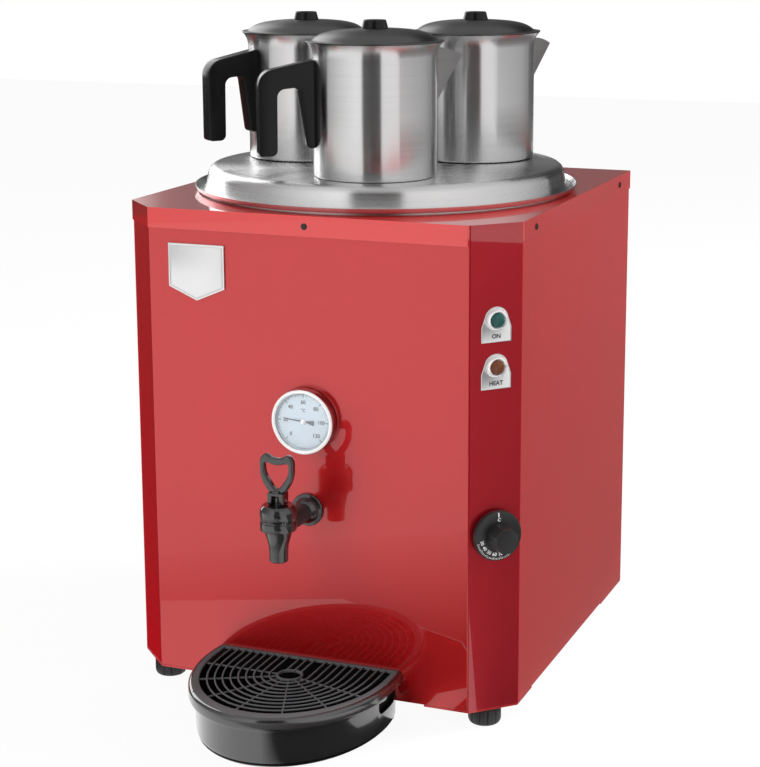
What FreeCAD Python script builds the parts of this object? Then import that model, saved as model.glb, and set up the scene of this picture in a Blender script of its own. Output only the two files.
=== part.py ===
import FreeCAD, Part
import math
import os
import re
import Sketcher
from FreeCAD import Placement, Rotation, Vector

# Counter-top hot water urn with three teapots on its lid.
# The origin is on the floor, under the middle of the whole urn. The tap is at -Y and +Z is up.
# The knob reaches past the right side, so the cabinet's middle, middleX, is a little left of the origin.
# Places in x are from the cabinet's middle, heights are above the floor, all sizes are in millimetres.
sizes = {
    # cabinet
    "bodyWidth": 400,
    "bodyDepth": 412,
    "frontY": -136.5,
    "middleX": -3.32,
    "baseHeight": 20,
    "bodyTop": 484,
    "cham": 36.8,
    "wall": 1.2,
    "lap": 14,
    "skirt": 19.5,
    "skirtWall": 1,
    "basePlate": 1.5,
    "tabLength": 45,
    "tabWall": 2,
    "bendOuter": 2,
    "bendInner": 0.8,
    # screws
    "skirtScrewZ": 474,
    "sideScrewFront": 75,
    "sideScrewRear": 369,
    "screwHole": 2,
    "screwShank": 1.9,
    "screwHead": 3.1,
    "screwCrown": 1.3,
    "screwLength": 8,
    "rearScrewInset": 8,
    # feet
    "footInsetX": 31,
    "footInsetY": 30.3,
    "footRadius": 15.8,
    "footTop": 17.7,
    "studRadius": 5,
    "studTop": 34,
    "studHole": 5.4,
    "nutFlats": 17,
    "nutHeight": 8,
    "threadGap": 0.06,
    # tank
    "tankSetback": 204.5,
    "tankRadius": 172,
    "tankWall": 1,
    "tankBottom": 160,
    "neckFlange": 186,
    "neckFlangeWall": 1.2,
    "neckHole": 174,
    "woolRadius": 188,
    "woolBottom": 150,
    "woolTop": 462,
    "standRadius": 152,
    "standWall": 1.5,
    "standFlange": 164,
    "heaterRadius": 50,
    "heaterPlate": 4,
    "heaterHole": 40,
    "heaterWire": 4.2,
    "heaterHalf": 22,
    "heaterZ": 192,
    "drainRadius": 8,
    "drainBore": 6.5,
    "drainZ": 100,
    "drainReach": 100,
    "drainCap": 12,
    "rearProud": 16,
    "glandX": -120,
    "glandZ": 70,
    "glandBore": 4.5,
    "bulbX": 60,
    "bulbBack": 58,
    "bulbRadius": 3.5,
    # thermometer
    "gaugeZ": 289.5,
    "gaugeRadius": 31.5,
    "caseRadius": 30,
    "gaugeProud": 12.8,
    "stemRadius": 4,
    "stemReach": 84,
    "needleHub": 2.6,
    "needleLength": 21,
    "needleTail": 11,
    "needleAngle": 175.5,
    # tap
    "tapReach": 67,
    "tapZ": 201,
    "spoutBottom": 170.8,
    "collarRadius": 17.2,
    "collarBottom": 198.3,
    "collarSplit": 211,
    "capTop": 225.2,
    "chamberRadius": 8.5,
    "seatZ": 184.5,
    "armRadius": 8.8,
    "armBore": 5.5,
    "tailRadius": 8,
    "tailReach": 40,
    "tapNutFlats": 24,
    "plungerRadius": 3.4,
    "plungerTop": 232.5,
    "pivotZ": 229.7,
    "pinRadius": 1.5,
    "blockWidth": 18.5,
    "blockDepth": 16,
    "blockBottom": 225.6,
    "blockTop": 237.2,
    "forkRoof": 234.4,
    "leverTop": 274,
    "leverDepth": 6.4,
    # control strip on the right front corner
    "lampUpperZ": 395.8,
    "lampLowerZ": 351.9,
    "lampRing": 10.25,
    "lampLens": 6.7,
    "lampBarrel": 6.9,
    "lampPlateWidth": 30.5,
    "lampPlateDrop": 20.8,
    "lampPlateWall": 1.2,
    "knobZ": 192.5,
    "knobRadius": 24,
    "knobDisc": 8.5,
    "gripFlats": 24.5,
    "knobTop": 27,
    "shaftRadius": 3,
    "bushRadius": 5.1,
    "bushHole": 5.3,
    # badge
    "badgeLeft": -142,
    "badgeRight": -83,
    "badgeTop": 451,
    "badgeCorner": 409,
    "badgePoint": 396.5,
    "badgeWall": 2.5,
    # drip tray
    "trayWidth": 98.5,
    "trayReach": 128,
    "trayCentre": 27,
    "trayTop": 51.5,
    "trayFloor": 0.6,
    "trayLip": 12.5,
    "trayStep": 7,
    "trayWall": 2,
    "grateWall": 3,
    "grateInset": 3,
    "grateGap": 0.4,
    "slotWidth": 89,
    "slotReach": 112.6,
    "slotCentre": 28,
    "ringRadius": 12,
    "ringCentre": 47,
    "barWall": 1.8,
    "barCount": 10,
    # round lid
    "lidRadius": 194,
    "lidBottom": 485.5,
    "lidLip": 490.5,
    "lidTop": 509.5,
    "lidShoulder": 180,
    "lidWall": 1,
    # teapots
    "potCircle": 101,
    "potRadius": 60.3,
    "potHeight": 128,
    "potFlare": 66,
    "potWall": 0.8,
    "potGap": 0.3,
    "potLidTop": 140.5,
    "potLidRadius": 66.4,
    "knobBase": 12.8,
    "knobCrown": 10.8,
    "knobCrownZ": 148.5,
    "handleReach": 114,
    "handleTop": 113,
    "handleCorner": 101,
    "handleUnder": 84.5,
    "handleFoot": 21.5,
    "handleTipZ": 28.5,
    "handleWidth": 18,
    "legWidth": 18,
    "spoutReach": 25.6,
    "spoutTop": 121,
    "spoutTip": 114,
    "spoutFoot": 71,
    "spoutHalf": 17,
}

doc = FreeCAD.newDocument("hot_water_urn")
sheet = doc.addObject("Spreadsheet::Sheet", "dims")
for row, (word, value) in enumerate(sizes.items(), start=1):
    sheet.set("A%d" % row, word)
    sheet.set("B%d" % row, str(value))
    sheet.setAlias("B%d" % row, word)
doc.recompute()

words = re.compile(r"[A-Za-z]+")


def bound(text):
    # Turns "bodyWidth / 2" into an expression on the sheet's cells.
    def cell(found):
        word = found.group(0)
        return "dims." + word if word in sizes else word

    return words.sub(cell, str(text))


def num(text):
    return float(sheet.evalExpression(bound(text)))


def at(x, y, z):
    return Vector(num(x), num(y), num(z))


# Ways that a piece can face: its own +Z points out of that side of the cabinet.
outFront = Rotation(Vector(1, 0, 0), 90)
outCorner = Rotation(Vector(0, 0, 1), 45) * outFront
outRear = Rotation(Vector(0, 0, 1), 180) * outFront
upright = Rotation()

pieces = []


def newBody(label, x="0", y="0", z="0", facing=upright):
    body = doc.addObject("PartDesign::Body", label)
    body.Label = label
    x = "(%s) + middleX" % x
    body.Placement = Placement(at(x, y, z), facing)
    for axis, text in zip("xyz", (x, y, z)):
        body.setExpression("Placement.Base." + axis, bound(text))
    pieces.append(body)
    return body


def newSketch(body, role, loops, shift="0"):
    # A loop is a list of corners, or ("circle", x, y, radius).
    sketch = body.newObject("Sketcher::SketchObject", body.Name + "_sketch")
    plane = [item for item in body.Origin.OriginFeatures if item.Role == role + "_Plane"][0]
    sketch.AttachmentSupport = [(plane, "")]
    sketch.MapMode = "FlatFace"
    sketch.AttachmentOffset = Placement(Vector(0, 0, num(shift)), upright)
    sketch.setExpression("AttachmentOffset.Base.z", bound(shift))
    for loop in loops:
        first = sketch.GeometryCount
        if loop[0] == "circle":
            centre = at(loop[1], loop[2], "0")
            sketch.addGeometry(Part.Circle(centre, Vector(0, 0, 1), num(loop[3])), False)
            rules = [("DistanceX", (-1, 1, first, 3), loop[1]), ("DistanceY", (-1, 1, first, 3), loop[2])]
            rules.append(("Radius", (first,), loop[3]))
        else:
            corners = [at(x, y, "0") for x, y in loop]
            for start, end in zip(corners, corners[1:] + corners[:1]):
                sketch.addGeometry(Part.LineSegment(start, end), False)
            rules = []
            for index, (x, y) in enumerate(loop):
                following = first + (index + 1) % len(loop)
                sketch.addConstraint(Sketcher.Constraint("Coincident", first + index, 2, following, 1))
                rules.append(("DistanceX", (-1, 1, first + index, 1), x))
                rules.append(("DistanceY", (-1, 1, first + index, 1), y))
        for kind, places, text in rules:
            rule = sketch.addConstraint(Sketcher.Constraint(kind, *places, num(text)))
            sketch.setExpression("Constraints[%d]" % rule, bound(text))
    return sketch


def pad(body, role, loops, length, shift="0", reverse=False):
    # Adds material from the sketch plane, along the plane's normal unless reversed.
    feature = body.newObject("PartDesign::Pad", body.Name + "_pad")
    feature.Profile = newSketch(body, role, loops, shift)
    feature.setExpression("Length", bound(length))
    feature.Reversed = reverse
    body.Tip = feature
    doc.recompute()
    return feature


def cut(body, role, loops, length, shift="0", along=False):
    # Removes material from the sketch plane, against the plane's normal unless along is set.
    before = body.Shape.Volume
    feature = body.newObject("PartDesign::Pocket", body.Name + "_cut")
    feature.Profile = newSketch(body, role, loops, shift)
    feature.Reversed = along
    if length == "through":
        feature.Type = "ThroughAll"
        feature.SideType = "Symmetric"
    elif length == "onward":
        feature.Type = "ThroughAll"
    else:
        feature.setExpression("Length", bound(length))
    body.Tip = feature
    doc.recompute()
    if feature.Shape.Volume > before - 1e-3:
        raise ValueError(body.Label + ": a cut removed nothing")
    return feature


def turn(body, profile):
    # Turns a profile of (radius, height) corners about the body's own Z axis.
    feature = body.newObject("PartDesign::Revolution", body.Name + "_turned")
    sketch = newSketch(body, "XZ", [profile])
    feature.Profile = sketch
    feature.ReferenceAxis = (sketch, ["V_Axis"])
    feature.Angle = 360
    body.Tip = feature
    doc.recompute()
    return feature


def repeat(body, feature, count):
    pattern = body.newObject("PartDesign::PolarPattern", body.Name + "_pattern")
    pattern.Originals = [feature]
    axis = [item for item in body.Origin.OriginFeatures if item.Role == "Z_Axis"][0]
    pattern.Axis = (axis, [""])
    pattern.Angle = 360
    pattern.Occurrences = count
    body.Tip = pattern
    doc.recompute()


def roundEdges(body, radius, wanted):
    base = body.Tip
    names = ["Edge%d" % number for number, edge in enumerate(base.Shape.Edges, start=1) if wanted(edge)]
    feature = body.newObject("PartDesign::Fillet", body.Name + "_round")
    feature.Base = (base, names)
    feature.setExpression("Radius", bound(radius))
    body.Tip = feature
    doc.recompute()


def uprightAt(x, y):
    # Picks the vertical edges that stand at one place in plan.
    place = at(x, y, "0")

    def wanted(edge):
        box = edge.BoundBox
        near = math.hypot(box.Center.x - place.x, box.Center.y - place.y) < 0.05
        return near and box.ZLength > 10 and box.XLength < 0.01

    return wanted


def newFeature(label, shape, x="0", y="0", z="0", facing=upright):
    feature = doc.addObject("Part::Feature", label)
    feature.Label = label
    feature.Shape = shape
    feature.Placement = Placement(at("(%s) + middleX" % x, y, z), facing)
    pieces.append(feature)
    return feature


def hexagon(x, y, flats):
    corner = "(%s) / 2 / cos(30)" % flats
    return [("(%s) + %s * cos(%d)" % (x, corner, turned), "(%s) + %s * sin(%d)" % (y, corner, turned))
            for turned in range(0, 360, 60)]


def roundedWire(corners, radii, lift=0.0):
    # A closed outline in the XZ plane whose corners are rounded by tangent arcs.
    points = [Vector(x, lift, z) for x, z in corners]
    edges = []
    count = len(points)
    marks = []
    for index, radius in enumerate(radii):
        back = (points[index - 1] - points[index]).normalize()
        ahead = (points[(index + 1) % count] - points[index]).normalize()
        half = back.getAngle(ahead) / 2
        bisector = (back + ahead).normalize()
        reach = radius / math.tan(half)
        middle = points[index] + bisector * (radius / math.sin(half) - radius)
        marks.append((points[index] + back * reach, middle, points[index] + ahead * reach))
    for index in range(count):
        start, middle, end = marks[index]
        edges.append(Part.Arc(start, middle, end).toShape())
        edges.append(Part.LineSegment(end, marks[(index + 1) % count][0]).toShape())
    return Part.Wire(edges)


def pipe(points, bends, radius, bore=0.0):
    # A tube along straight runs that are joined by tangent arcs.
    edges = []
    start = points[0]
    for index in range(1, len(points) - 1):
        corner = points[index]
        back = (points[index - 1] - corner).normalize()
        ahead = (points[index + 1] - corner).normalize()
        half = back.getAngle(ahead) / 2
        bisector = (back + ahead).normalize()
        reach = bends[index - 1] / math.tan(half)
        middle = corner + bisector * (bends[index - 1] / math.sin(half) - bends[index - 1])
        entry = corner + back * reach
        leave = corner + ahead * reach
        edges.append(Part.LineSegment(start, entry).toShape())
        edges.append(Part.Arc(entry, middle, leave).toShape())
        start = leave
    edges.append(Part.LineSegment(start, points[-1]).toShape())
    path = Part.Wire(edges)
    along = (points[1] - points[0]).normalize()

    def tube(size):
        ring = Part.Wire([Part.Circle(points[0], along, size).toShape()])
        return path.makePipeShell([ring], True, False)

    solid = tube(radius)
    if bore:
        solid = solid.cut(tube(bore))
    section = math.pi * (radius ** 2 - bore ** 2)
    print("tube volume against section times length", round(solid.Volume / (section * path.Length), 3))
    return solid


halfWidth = "bodyWidth / 2"
rearY = "(frontY + bodyDepth)"
tankY = "(frontY + tankSetback)"
tapY = "(frontY - tapReach)"
panelHeight = "bodyTop - wall - baseHeight"
footPlaces = {
    "front_left": ("-%s + footInsetX" % halfWidth, "frontY + footInsetY"),
    "front_right": ("%s - footInsetX" % halfWidth, "frontY + footInsetY"),
    "rear_left": ("-%s + footInsetX" % halfWidth, rearY + " - footInsetY"),
    "rear_right": ("%s - footInsetX" % halfWidth, rearY + " - footInsetY"),
}
sideScrews = ("frontY + sideScrewFront", "frontY + sideScrewRear")
rearScrews = [(side + "(%s - rearScrewInset)" % halfWidth, height)
              for side in ("", "-") for height in ("40", "250", "455")]


def frontPanel():
    # Front face with the left corner bevel bent from the same sheet.
    body = newBody("front_panel")
    pad(body, "XY", [[
        ("-bodyWidth / 2 + wall", "frontY + cham + lap"),
        ("-bodyWidth / 2 + wall", "frontY + cham - wall"),
        ("-bodyWidth / 2 + cham", "frontY"),
        ("bodyWidth / 2 - cham - wall * sqrt(2)", "frontY"),
        ("bodyWidth / 2 - cham - wall * sqrt(2) + lap / sqrt(2)", "frontY + lap / sqrt(2)"),
        ("bodyWidth / 2 - cham - wall * 3 / sqrt(2) + lap / sqrt(2)",
         "frontY + lap / sqrt(2) + wall / sqrt(2)"),
        ("bodyWidth / 2 - cham - wall * (2 * sqrt(2) - 1)", "frontY + wall"),
        ("-bodyWidth / 2 + cham + wall * (sqrt(2) - 1)", "frontY + wall"),
        ("-bodyWidth / 2 + 2 * wall", "frontY + cham - wall * (2 - sqrt(2))"),
        ("-bodyWidth / 2 + 2 * wall", "frontY + cham + lap"),
    ]], panelHeight, "baseHeight")
    roundEdges(body, "bendOuter", uprightAt("-bodyWidth / 2 + cham", "frontY"))
    inner = uprightAt("-bodyWidth / 2 + cham + wall * (sqrt(2) - 1)", "frontY + wall")
    roundEdges(body, "bendInner", inner)
    cut(body, "XZ", [
        ("circle", "0", "gaugeZ", "stemRadius + 0.4"),
        ("circle", "0", "tapZ", "tailRadius + 0.4"),
        ("circle", "0", "skirtScrewZ", "screwHole"),
    ], "through")


def sidePanels():
    left = newBody("left_side_panel")
    pad(left, "XY", [[
        ("-bodyWidth / 2", "frontY + cham"),
        ("-bodyWidth / 2", rearY + " - wall"),
        ("-bodyWidth / 2 + lap", rearY + " - wall"),
        ("-bodyWidth / 2 + lap", rearY + " - 2 * wall"),
        ("-bodyWidth / 2 + wall", rearY + " - 2 * wall"),
        ("-bodyWidth / 2 + wall", "frontY + cham"),
    ]], panelHeight, "baseHeight")
    right = newBody("right_side_panel")
    pad(right, "XY", [[
        ("bodyWidth / 2 - lap / sqrt(2)", "frontY + cham + wall * sqrt(2) - lap / sqrt(2)"),
        ("bodyWidth / 2", "frontY + cham + wall * sqrt(2)"),
        ("bodyWidth / 2", rearY + " - wall"),
        ("bodyWidth / 2 - lap", rearY + " - wall"),
        ("bodyWidth / 2 - lap", rearY + " - 2 * wall"),
        ("bodyWidth / 2 - wall", rearY + " - 2 * wall"),
        ("bodyWidth / 2 - wall", "frontY + cham + wall * (2 * sqrt(2) - 1)"),
        ("bodyWidth / 2 - lap / sqrt(2) - wall / sqrt(2)",
         "frontY + cham + wall * 3 / sqrt(2) - lap / sqrt(2)"),
    ]], panelHeight, "baseHeight")
    for body in (left, right):
        cut(body, "YZ", [("circle", y, "skirtScrewZ", "screwHole") for y in sideScrews], "through")
        side = "-" if body is left else ""
        cut(body, "XZ", [("circle", side + "(%s - rearScrewInset)" % halfWidth, height, "screwHole")
                         for height in ("40", "250", "455")], "through")


def rearPanel():
    # Flat cover with two banks of vent slots, held to the side flanges by screws.
    body = newBody("rear_panel")
    slotWidth, slotHeight, slotPitch = 60, 5, 14
    vents = []
    for middle in (-70, 70):
        for level in range(7):
            low = 150 + level * slotPitch
            vents.append([(str(middle - slotWidth / 2), str(low)), (str(middle + slotWidth / 2), str(low)),
                          (str(middle + slotWidth / 2), str(low + slotHeight)),
                          (str(middle - slotWidth / 2), str(low + slotHeight))])
    outline = [("-bodyWidth / 2", "baseHeight"), ("bodyWidth / 2", "baseHeight"),
               ("bodyWidth / 2", "bodyTop - wall"), ("-bodyWidth / 2", "bodyTop - wall")]
    holes = [("circle", x, z, "screwHole") for x, z in rearScrews]
    holes.append(("circle", "0", "skirtScrewZ", "screwHole"))
    holes.append(("circle", "glandX", "glandZ", "8.3"))
    holes.append(("circle", "0", "drainZ", "drainRadius + 0.4"))
    pad(body, "XZ", [outline] + vents + holes, "wall", "-" + rearY)


def controlPanel():
    # Flat strip across the right front corner, full height, drilled for the lamps and the thermostat.
    body = newBody("control_panel", "bodyWidth / 2 - cham / 2", "frontY + cham / 2", "0", outCorner)
    half = "cham / sqrt(2)"
    pad(body, "XY", [
        [("-" + half, "baseHeight"), (half, "baseHeight"), (half, "bodyTop"), ("-" + half, "bodyTop")],
        ("circle", "0", "lampUpperZ", "lampBarrel + 0.1"),
        ("circle", "0", "lampLowerZ", "lampBarrel + 0.1"),
        ("circle", "0", "knobZ", "bushHole"),
    ], "wall", "-wall")


def topCover():
    # Shallow tray upside down: a flat plate and a skirt that laps over the panels.
    body = newBody("top_cover")
    out = "skirtWall"
    pad(body, "XY", [[
        ("-bodyWidth / 2 - " + out, rearY + " + " + out),
        ("-bodyWidth / 2 - " + out, "frontY + cham - %s * (sqrt(2) - 1)" % out),
        ("-bodyWidth / 2 + cham - %s * (sqrt(2) - 1)" % out, "frontY - " + out),
        ("bodyWidth / 2 - cham - wall * sqrt(2) - " + out, "frontY - " + out),
        ("bodyWidth / 2 + " + out, "frontY + cham + wall * sqrt(2) + " + out),
        ("bodyWidth / 2 + " + out, rearY + " + " + out),
    ]], "skirt", "bodyTop - skirt")
    cut(body, "XY", [[
        ("-bodyWidth / 2", rearY),
        ("-bodyWidth / 2", "frontY + cham"),
        ("-bodyWidth / 2 + cham", "frontY"),
        ("bodyWidth / 2", "frontY"),
        ("bodyWidth / 2", rearY),
    ]], "skirt - wall", "bodyTop - skirt", along=True)
    cut(body, "XY", [("circle", "0", tankY, "neckHole")], "through")
    cut(body, "XZ", [("circle", "0", "skirtScrewZ", "screwHole")], "through")
    cut(body, "YZ", [("circle", y, "skirtScrewZ", "screwHole") for y in sideScrews], "through")


def floorPlates():
    studs = [("circle", x, y, "studHole") for x, y in footPlaces.values()]
    plate = newBody("base_plate")
    pad(plate, "XY", [[
        ("-bodyWidth / 2 + 2 * wall", rearY + " - 2 * wall"),
        ("-bodyWidth / 2 + 2 * wall", "frontY + cham - wall * (2 - sqrt(2)) + bendInner / 2"),
        ("-bodyWidth / 2 + cham + wall * (sqrt(2) - 1) + bendInner / 2", "frontY + wall"),
        ("bodyWidth / 2 - cham - wall * (2 * sqrt(2) - 1)", "frontY + wall"),
        ("bodyWidth / 2 - 2 * wall", "frontY + cham + wall * (2 * sqrt(2) - 2)"),
        ("bodyWidth / 2 - 2 * wall", rearY + " - 2 * wall"),
    ]] + studs, "basePlate", "baseHeight")
    corners = newBody("corner_plates")
    loops = []
    for side in ("-", ""):
        flip = "" if side else "-"
        edge = side + "bodyWidth / 2"
        loops.append([
            (edge, "frontY + cham"),
            ("%s %s cham" % (edge, flip or "+"), "frontY"),
            ("%s %s (cham + tabLength)" % (edge, flip or "+"), "frontY"),
            ("%s %s (cham + tabLength)" % (edge, flip or "+"), "frontY + cham + tabLength"),
            (edge, "frontY + cham + tabLength"),
        ])
        loops.append([
            (edge, rearY),
            ("%s %s (cham + tabLength)" % (edge, flip or "+"), rearY),
            ("%s %s (cham + tabLength)" % (edge, flip or "+"), rearY + " - cham - tabLength"),
            (edge, rearY + " - cham - tabLength"),
        ])
    pad(corners, "XY", loops + studs, "tabWall", "baseHeight - tabWall")


def screws():
    # Pan-head screws: the skirt's six and the rear panel's six.
    body = newBody("panel_screws")

    def screw(role, x, y, face, flip):
        pad(body, role, [("circle", x, y, "screwShank")], "screwLength", face, reverse=not flip)
        pad(body, role, [("circle", x, y, "screwHead")], "screwCrown", face, reverse=flip)

    screw("XZ", "0", "skirtScrewZ", "-frontY + skirtWall", False)
    screw("XZ", "0", "skirtScrewZ", "-%s - skirtWall" % rearY, True)
    for x, z in rearScrews:
        screw("XZ", x, z, "-" + rearY, True)
    for y in sideScrews:
        screw("YZ", y, "skirtScrewZ", "bodyWidth / 2 + skirtWall", False)
        screw("YZ", y, "skirtScrewZ", "-bodyWidth / 2 - skirtWall", True)


def badge():
    # Blank five-sided plate.
    body = newBody("badge_plate", "0", "frontY", "0", outFront)
    pad(body, "XY", [[
        ("badgeLeft", "badgeTop"), ("badgeLeft", "badgeCorner"),
        ("(badgeLeft + badgeRight) / 2", "badgePoint"),
        ("badgeRight", "badgeCorner"), ("badgeRight", "badgeTop"),
    ]], "badgeWall")


def feet():
    for name, (x, y) in footPlaces.items():
        body = newBody("foot_" + name, x, y)
        turn(body, [
            ("0", "0"), ("footRadius - 2.4", "0"), ("footRadius - 1", "1.6"), ("footRadius", "4"),
            ("footRadius", "footTop - 3"), ("footRadius - 2", "footTop"), ("studRadius", "footTop"),
            ("studRadius", "studTop"), ("0", "studTop"),
        ])
        groove = [("circle", "footRadius + 1.1", "0", "2.4")]
        flute = cut(body, "XY", groove, "footTop - 3.2", "footTop + 0.5")
        repeat(body, flute, 12)
    nuts = newBody("foot_lock_nuts")
    loops = []
    for x, y in footPlaces.values():
        loops += [hexagon(x, y, "nutFlats"), ("circle", x, y, "studRadius + threadGap")]
    pad(nuts, "XY", loops, "nutHeight", "baseHeight + basePlate")


def tank():
    shell = newBody("tank_shell", "0", tankY)
    turn(shell, [
        ("0", "tankBottom"), ("tankRadius", "tankBottom"), ("tankRadius", "bodyTop"),
        ("neckFlange", "bodyTop"), ("neckFlange", "bodyTop + neckFlangeWall"),
        ("tankRadius - tankWall", "bodyTop + neckFlangeWall"),
        ("tankRadius - tankWall", "tankBottom + tankWall"), ("0", "tankBottom + tankWall"),
    ])
    cut(shell, "XZ", [("circle", "0", "tapZ", "tailRadius + threadGap"),
                      ("circle", "0", "gaugeZ", "stemRadius + threadGap")], "onward", along=True)
    cut(shell, "XY", [("circle", "0", "0", "heaterHole"),
                      ("circle", "0", "drainReach", "drainRadius + threadGap"),
                      ("circle", "bulbX", "-bulbBack", "bulbRadius + threadGap")],
        "tankWall * 3", "tankBottom + tankWall * 2")
    wool = newBody("tank_insulation", "0", tankY)
    turn(wool, [
        ("standFlange + 1", "woolBottom"), ("woolRadius", "woolBottom"), ("woolRadius", "woolTop"),
        ("tankRadius + 0.3", "woolTop"), ("tankRadius + 0.3", "tankBottom"),
        ("standFlange + 1", "tankBottom"),
    ])
    cut(wool, "XZ", [("circle", "0", "tapZ", "tapNutFlats * 2 / 3"),
                     ("circle", "0", "gaugeZ", "stemRadius + 2")], "onward", along=True)
    stand = newBody("tank_stand", "0", tankY)
    low, high = "baseHeight + basePlate", "tankBottom"
    turn(stand, [
        ("standRadius - standWall", low), ("standFlange", low), ("standFlange", low + " + standWall"),
        ("standRadius", low + " + standWall"), ("standRadius", high + " - standWall"),
        ("standFlange", high + " - standWall"), ("standFlange", high), ("standRadius - standWall", high),
    ])
    opening = [("-32", "45"), ("32", "45"), ("32", "135"), ("-32", "135")]
    window = cut(stand, "XZ", [opening], "onward", along=True)
    repeat(stand, window, 8)


def heater():
    plate = newBody("heater_flange", "0", tankY)
    legY = -25
    pad(plate, "XY", [("circle", "0", "0", "heaterRadius"),
                      ("circle", "heaterHalf", str(legY), "heaterWire + 0.05"),
                      ("circle", "-heaterHalf", str(legY), "heaterWire + 0.05")],
        "heaterPlate", "tankBottom - heaterPlate")
    half, level, foot = num("heaterHalf"), num("heaterZ"), num("tankBottom") - 28
    reach, turnRadius = 85, 16
    route = [Vector(-half, legY, foot), Vector(-half, legY, level), Vector(-half, reach, level),
             Vector(half, reach, level), Vector(half, legY, level), Vector(half, legY, foot)]
    element = pipe(route, [turnRadius, half - 1, half - 1, turnRadius], num("heaterWire"))
    newFeature("heating_element", element, "0", tankY)


def rearFittings():
    start = at("0", "drainReach", "tankBottom + tankWall")
    corner = at("0", "drainReach", "drainZ")
    end = at("0", rearY + " + rearProud - 4 - %s" % tankY, "drainZ")
    tube = pipe([start, corner, end], [18], num("drainRadius"), num("drainBore"))
    newFeature("drain_pipe", tube, "0", tankY)
    cap = newBody("drain_cap", "0", rearY, "drainZ", outRear)
    turn(cap, [("drainRadius + threadGap", "2"), ("drainCap", "2"), ("drainCap", "rearProud - 1.5"),
               ("drainCap - 1.5", "rearProud"), ("0", "rearProud"), ("0", "rearProud - 3.5"),
               ("drainRadius + threadGap", "rearProud - 3.5")])
    rib = cut(cap, "XY", [("circle", "drainCap + 0.8", "0", "1.6")], "rearProud", "rearProud + 1")
    repeat(cap, rib, 16)
    gland = newBody("cable_gland", "glandX", rearY, "glandZ", outRear)
    turn(gland, [("glandBore", "-14"), ("8", "-14"), ("8", "0"), ("9.5", "0"), ("9.5", "6"), ("9", "12"),
                 ("6.8", "15"), ("glandBore", "15")])
    pad(gland, "XY", [hexagon("0", "0", "22"), ("circle", "0", "0", "8.5")], "5")
    block = newBody("terminal_block", "glandX", rearY + " - 40", "baseHeight + basePlate")
    pad(block, "XY", [[("-32", "-12"), ("32", "-12"), ("32", "12"), ("-32", "12")]], "18")
    cut(block, "XY", [("circle", str(place), "0", "3.6") for place in (-24, -12, 0, 12, 24)], "9", "18")


def thermometer():
    # The local +Z points out of the front panel, and z = 0 is on the panel.
    case = newBody("gauge_case", "0", "frontY", "gaugeZ", outFront)
    turn(case, [
        ("0", "-stemReach"), ("stemRadius", "-stemReach"), ("stemRadius", "0"), ("caseRadius", "0"),
        ("caseRadius", "10"), ("caseRadius - 1", "10"), ("caseRadius - 1", "7"), ("caseRadius - 4", "7"),
        ("caseRadius - 4", "1.5"), ("0", "1.5"),
    ])
    bezel = newBody("gauge_bezel", "0", "frontY", "gaugeZ", outFront)
    turn(bezel, [
        ("caseRadius + 0.05", "1.5"), ("gaugeRadius - 0.5", "1.5"), ("gaugeRadius", "3"),
        ("gaugeRadius", "gaugeProud - 1.4"), ("gaugeRadius - 1.4", "gaugeProud"),
        ("gaugeRadius - 2.6", "gaugeProud"), ("gaugeRadius - 4", "gaugeProud - 1.2"),
        ("caseRadius + 0.05", "gaugeProud - 1.2"),
    ])
    dial = newBody("gauge_dial", "0", "frontY", "gaugeZ", outFront)
    pad(dial, "XY", [("circle", "0", "0", "caseRadius - 1.05"), ("circle", "0", "0", "1.4")], "0.6", "7")
    glass = newBody("gauge_glass", "0", "frontY", "gaugeZ", outFront)
    pad(glass, "XY", [("circle", "0", "0", "caseRadius - 0.05")], "gaugeProud - 11.2", "10")
    reading = Rotation(Vector(0, 0, 1), num("needleAngle"))
    needle = newBody("gauge_pointer", "0", "frontY", "gaugeZ", outFront * reading)
    turn(needle, [("0", "3"), ("1.1", "3"), ("1.1", "8"), ("needleHub", "8"),
                  ("needleHub", "9.3"), ("0", "9.3")])
    pad(needle, "XY", [[("-1", "-0.6"), ("needleLength - 3", "-0.5"), ("needleLength", "0"),
                        ("needleLength - 3", "0.5"), ("-1", "0.6")]], "0.5", "8.2")
    pad(needle, "XY", [[("1", "0.8"), ("-4", "1"), ("-needleTail", "2.8"), ("-needleTail", "-2.8"),
                        ("-4", "-1"), ("1", "-0.8")]], "0.5", "8.2")


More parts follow.
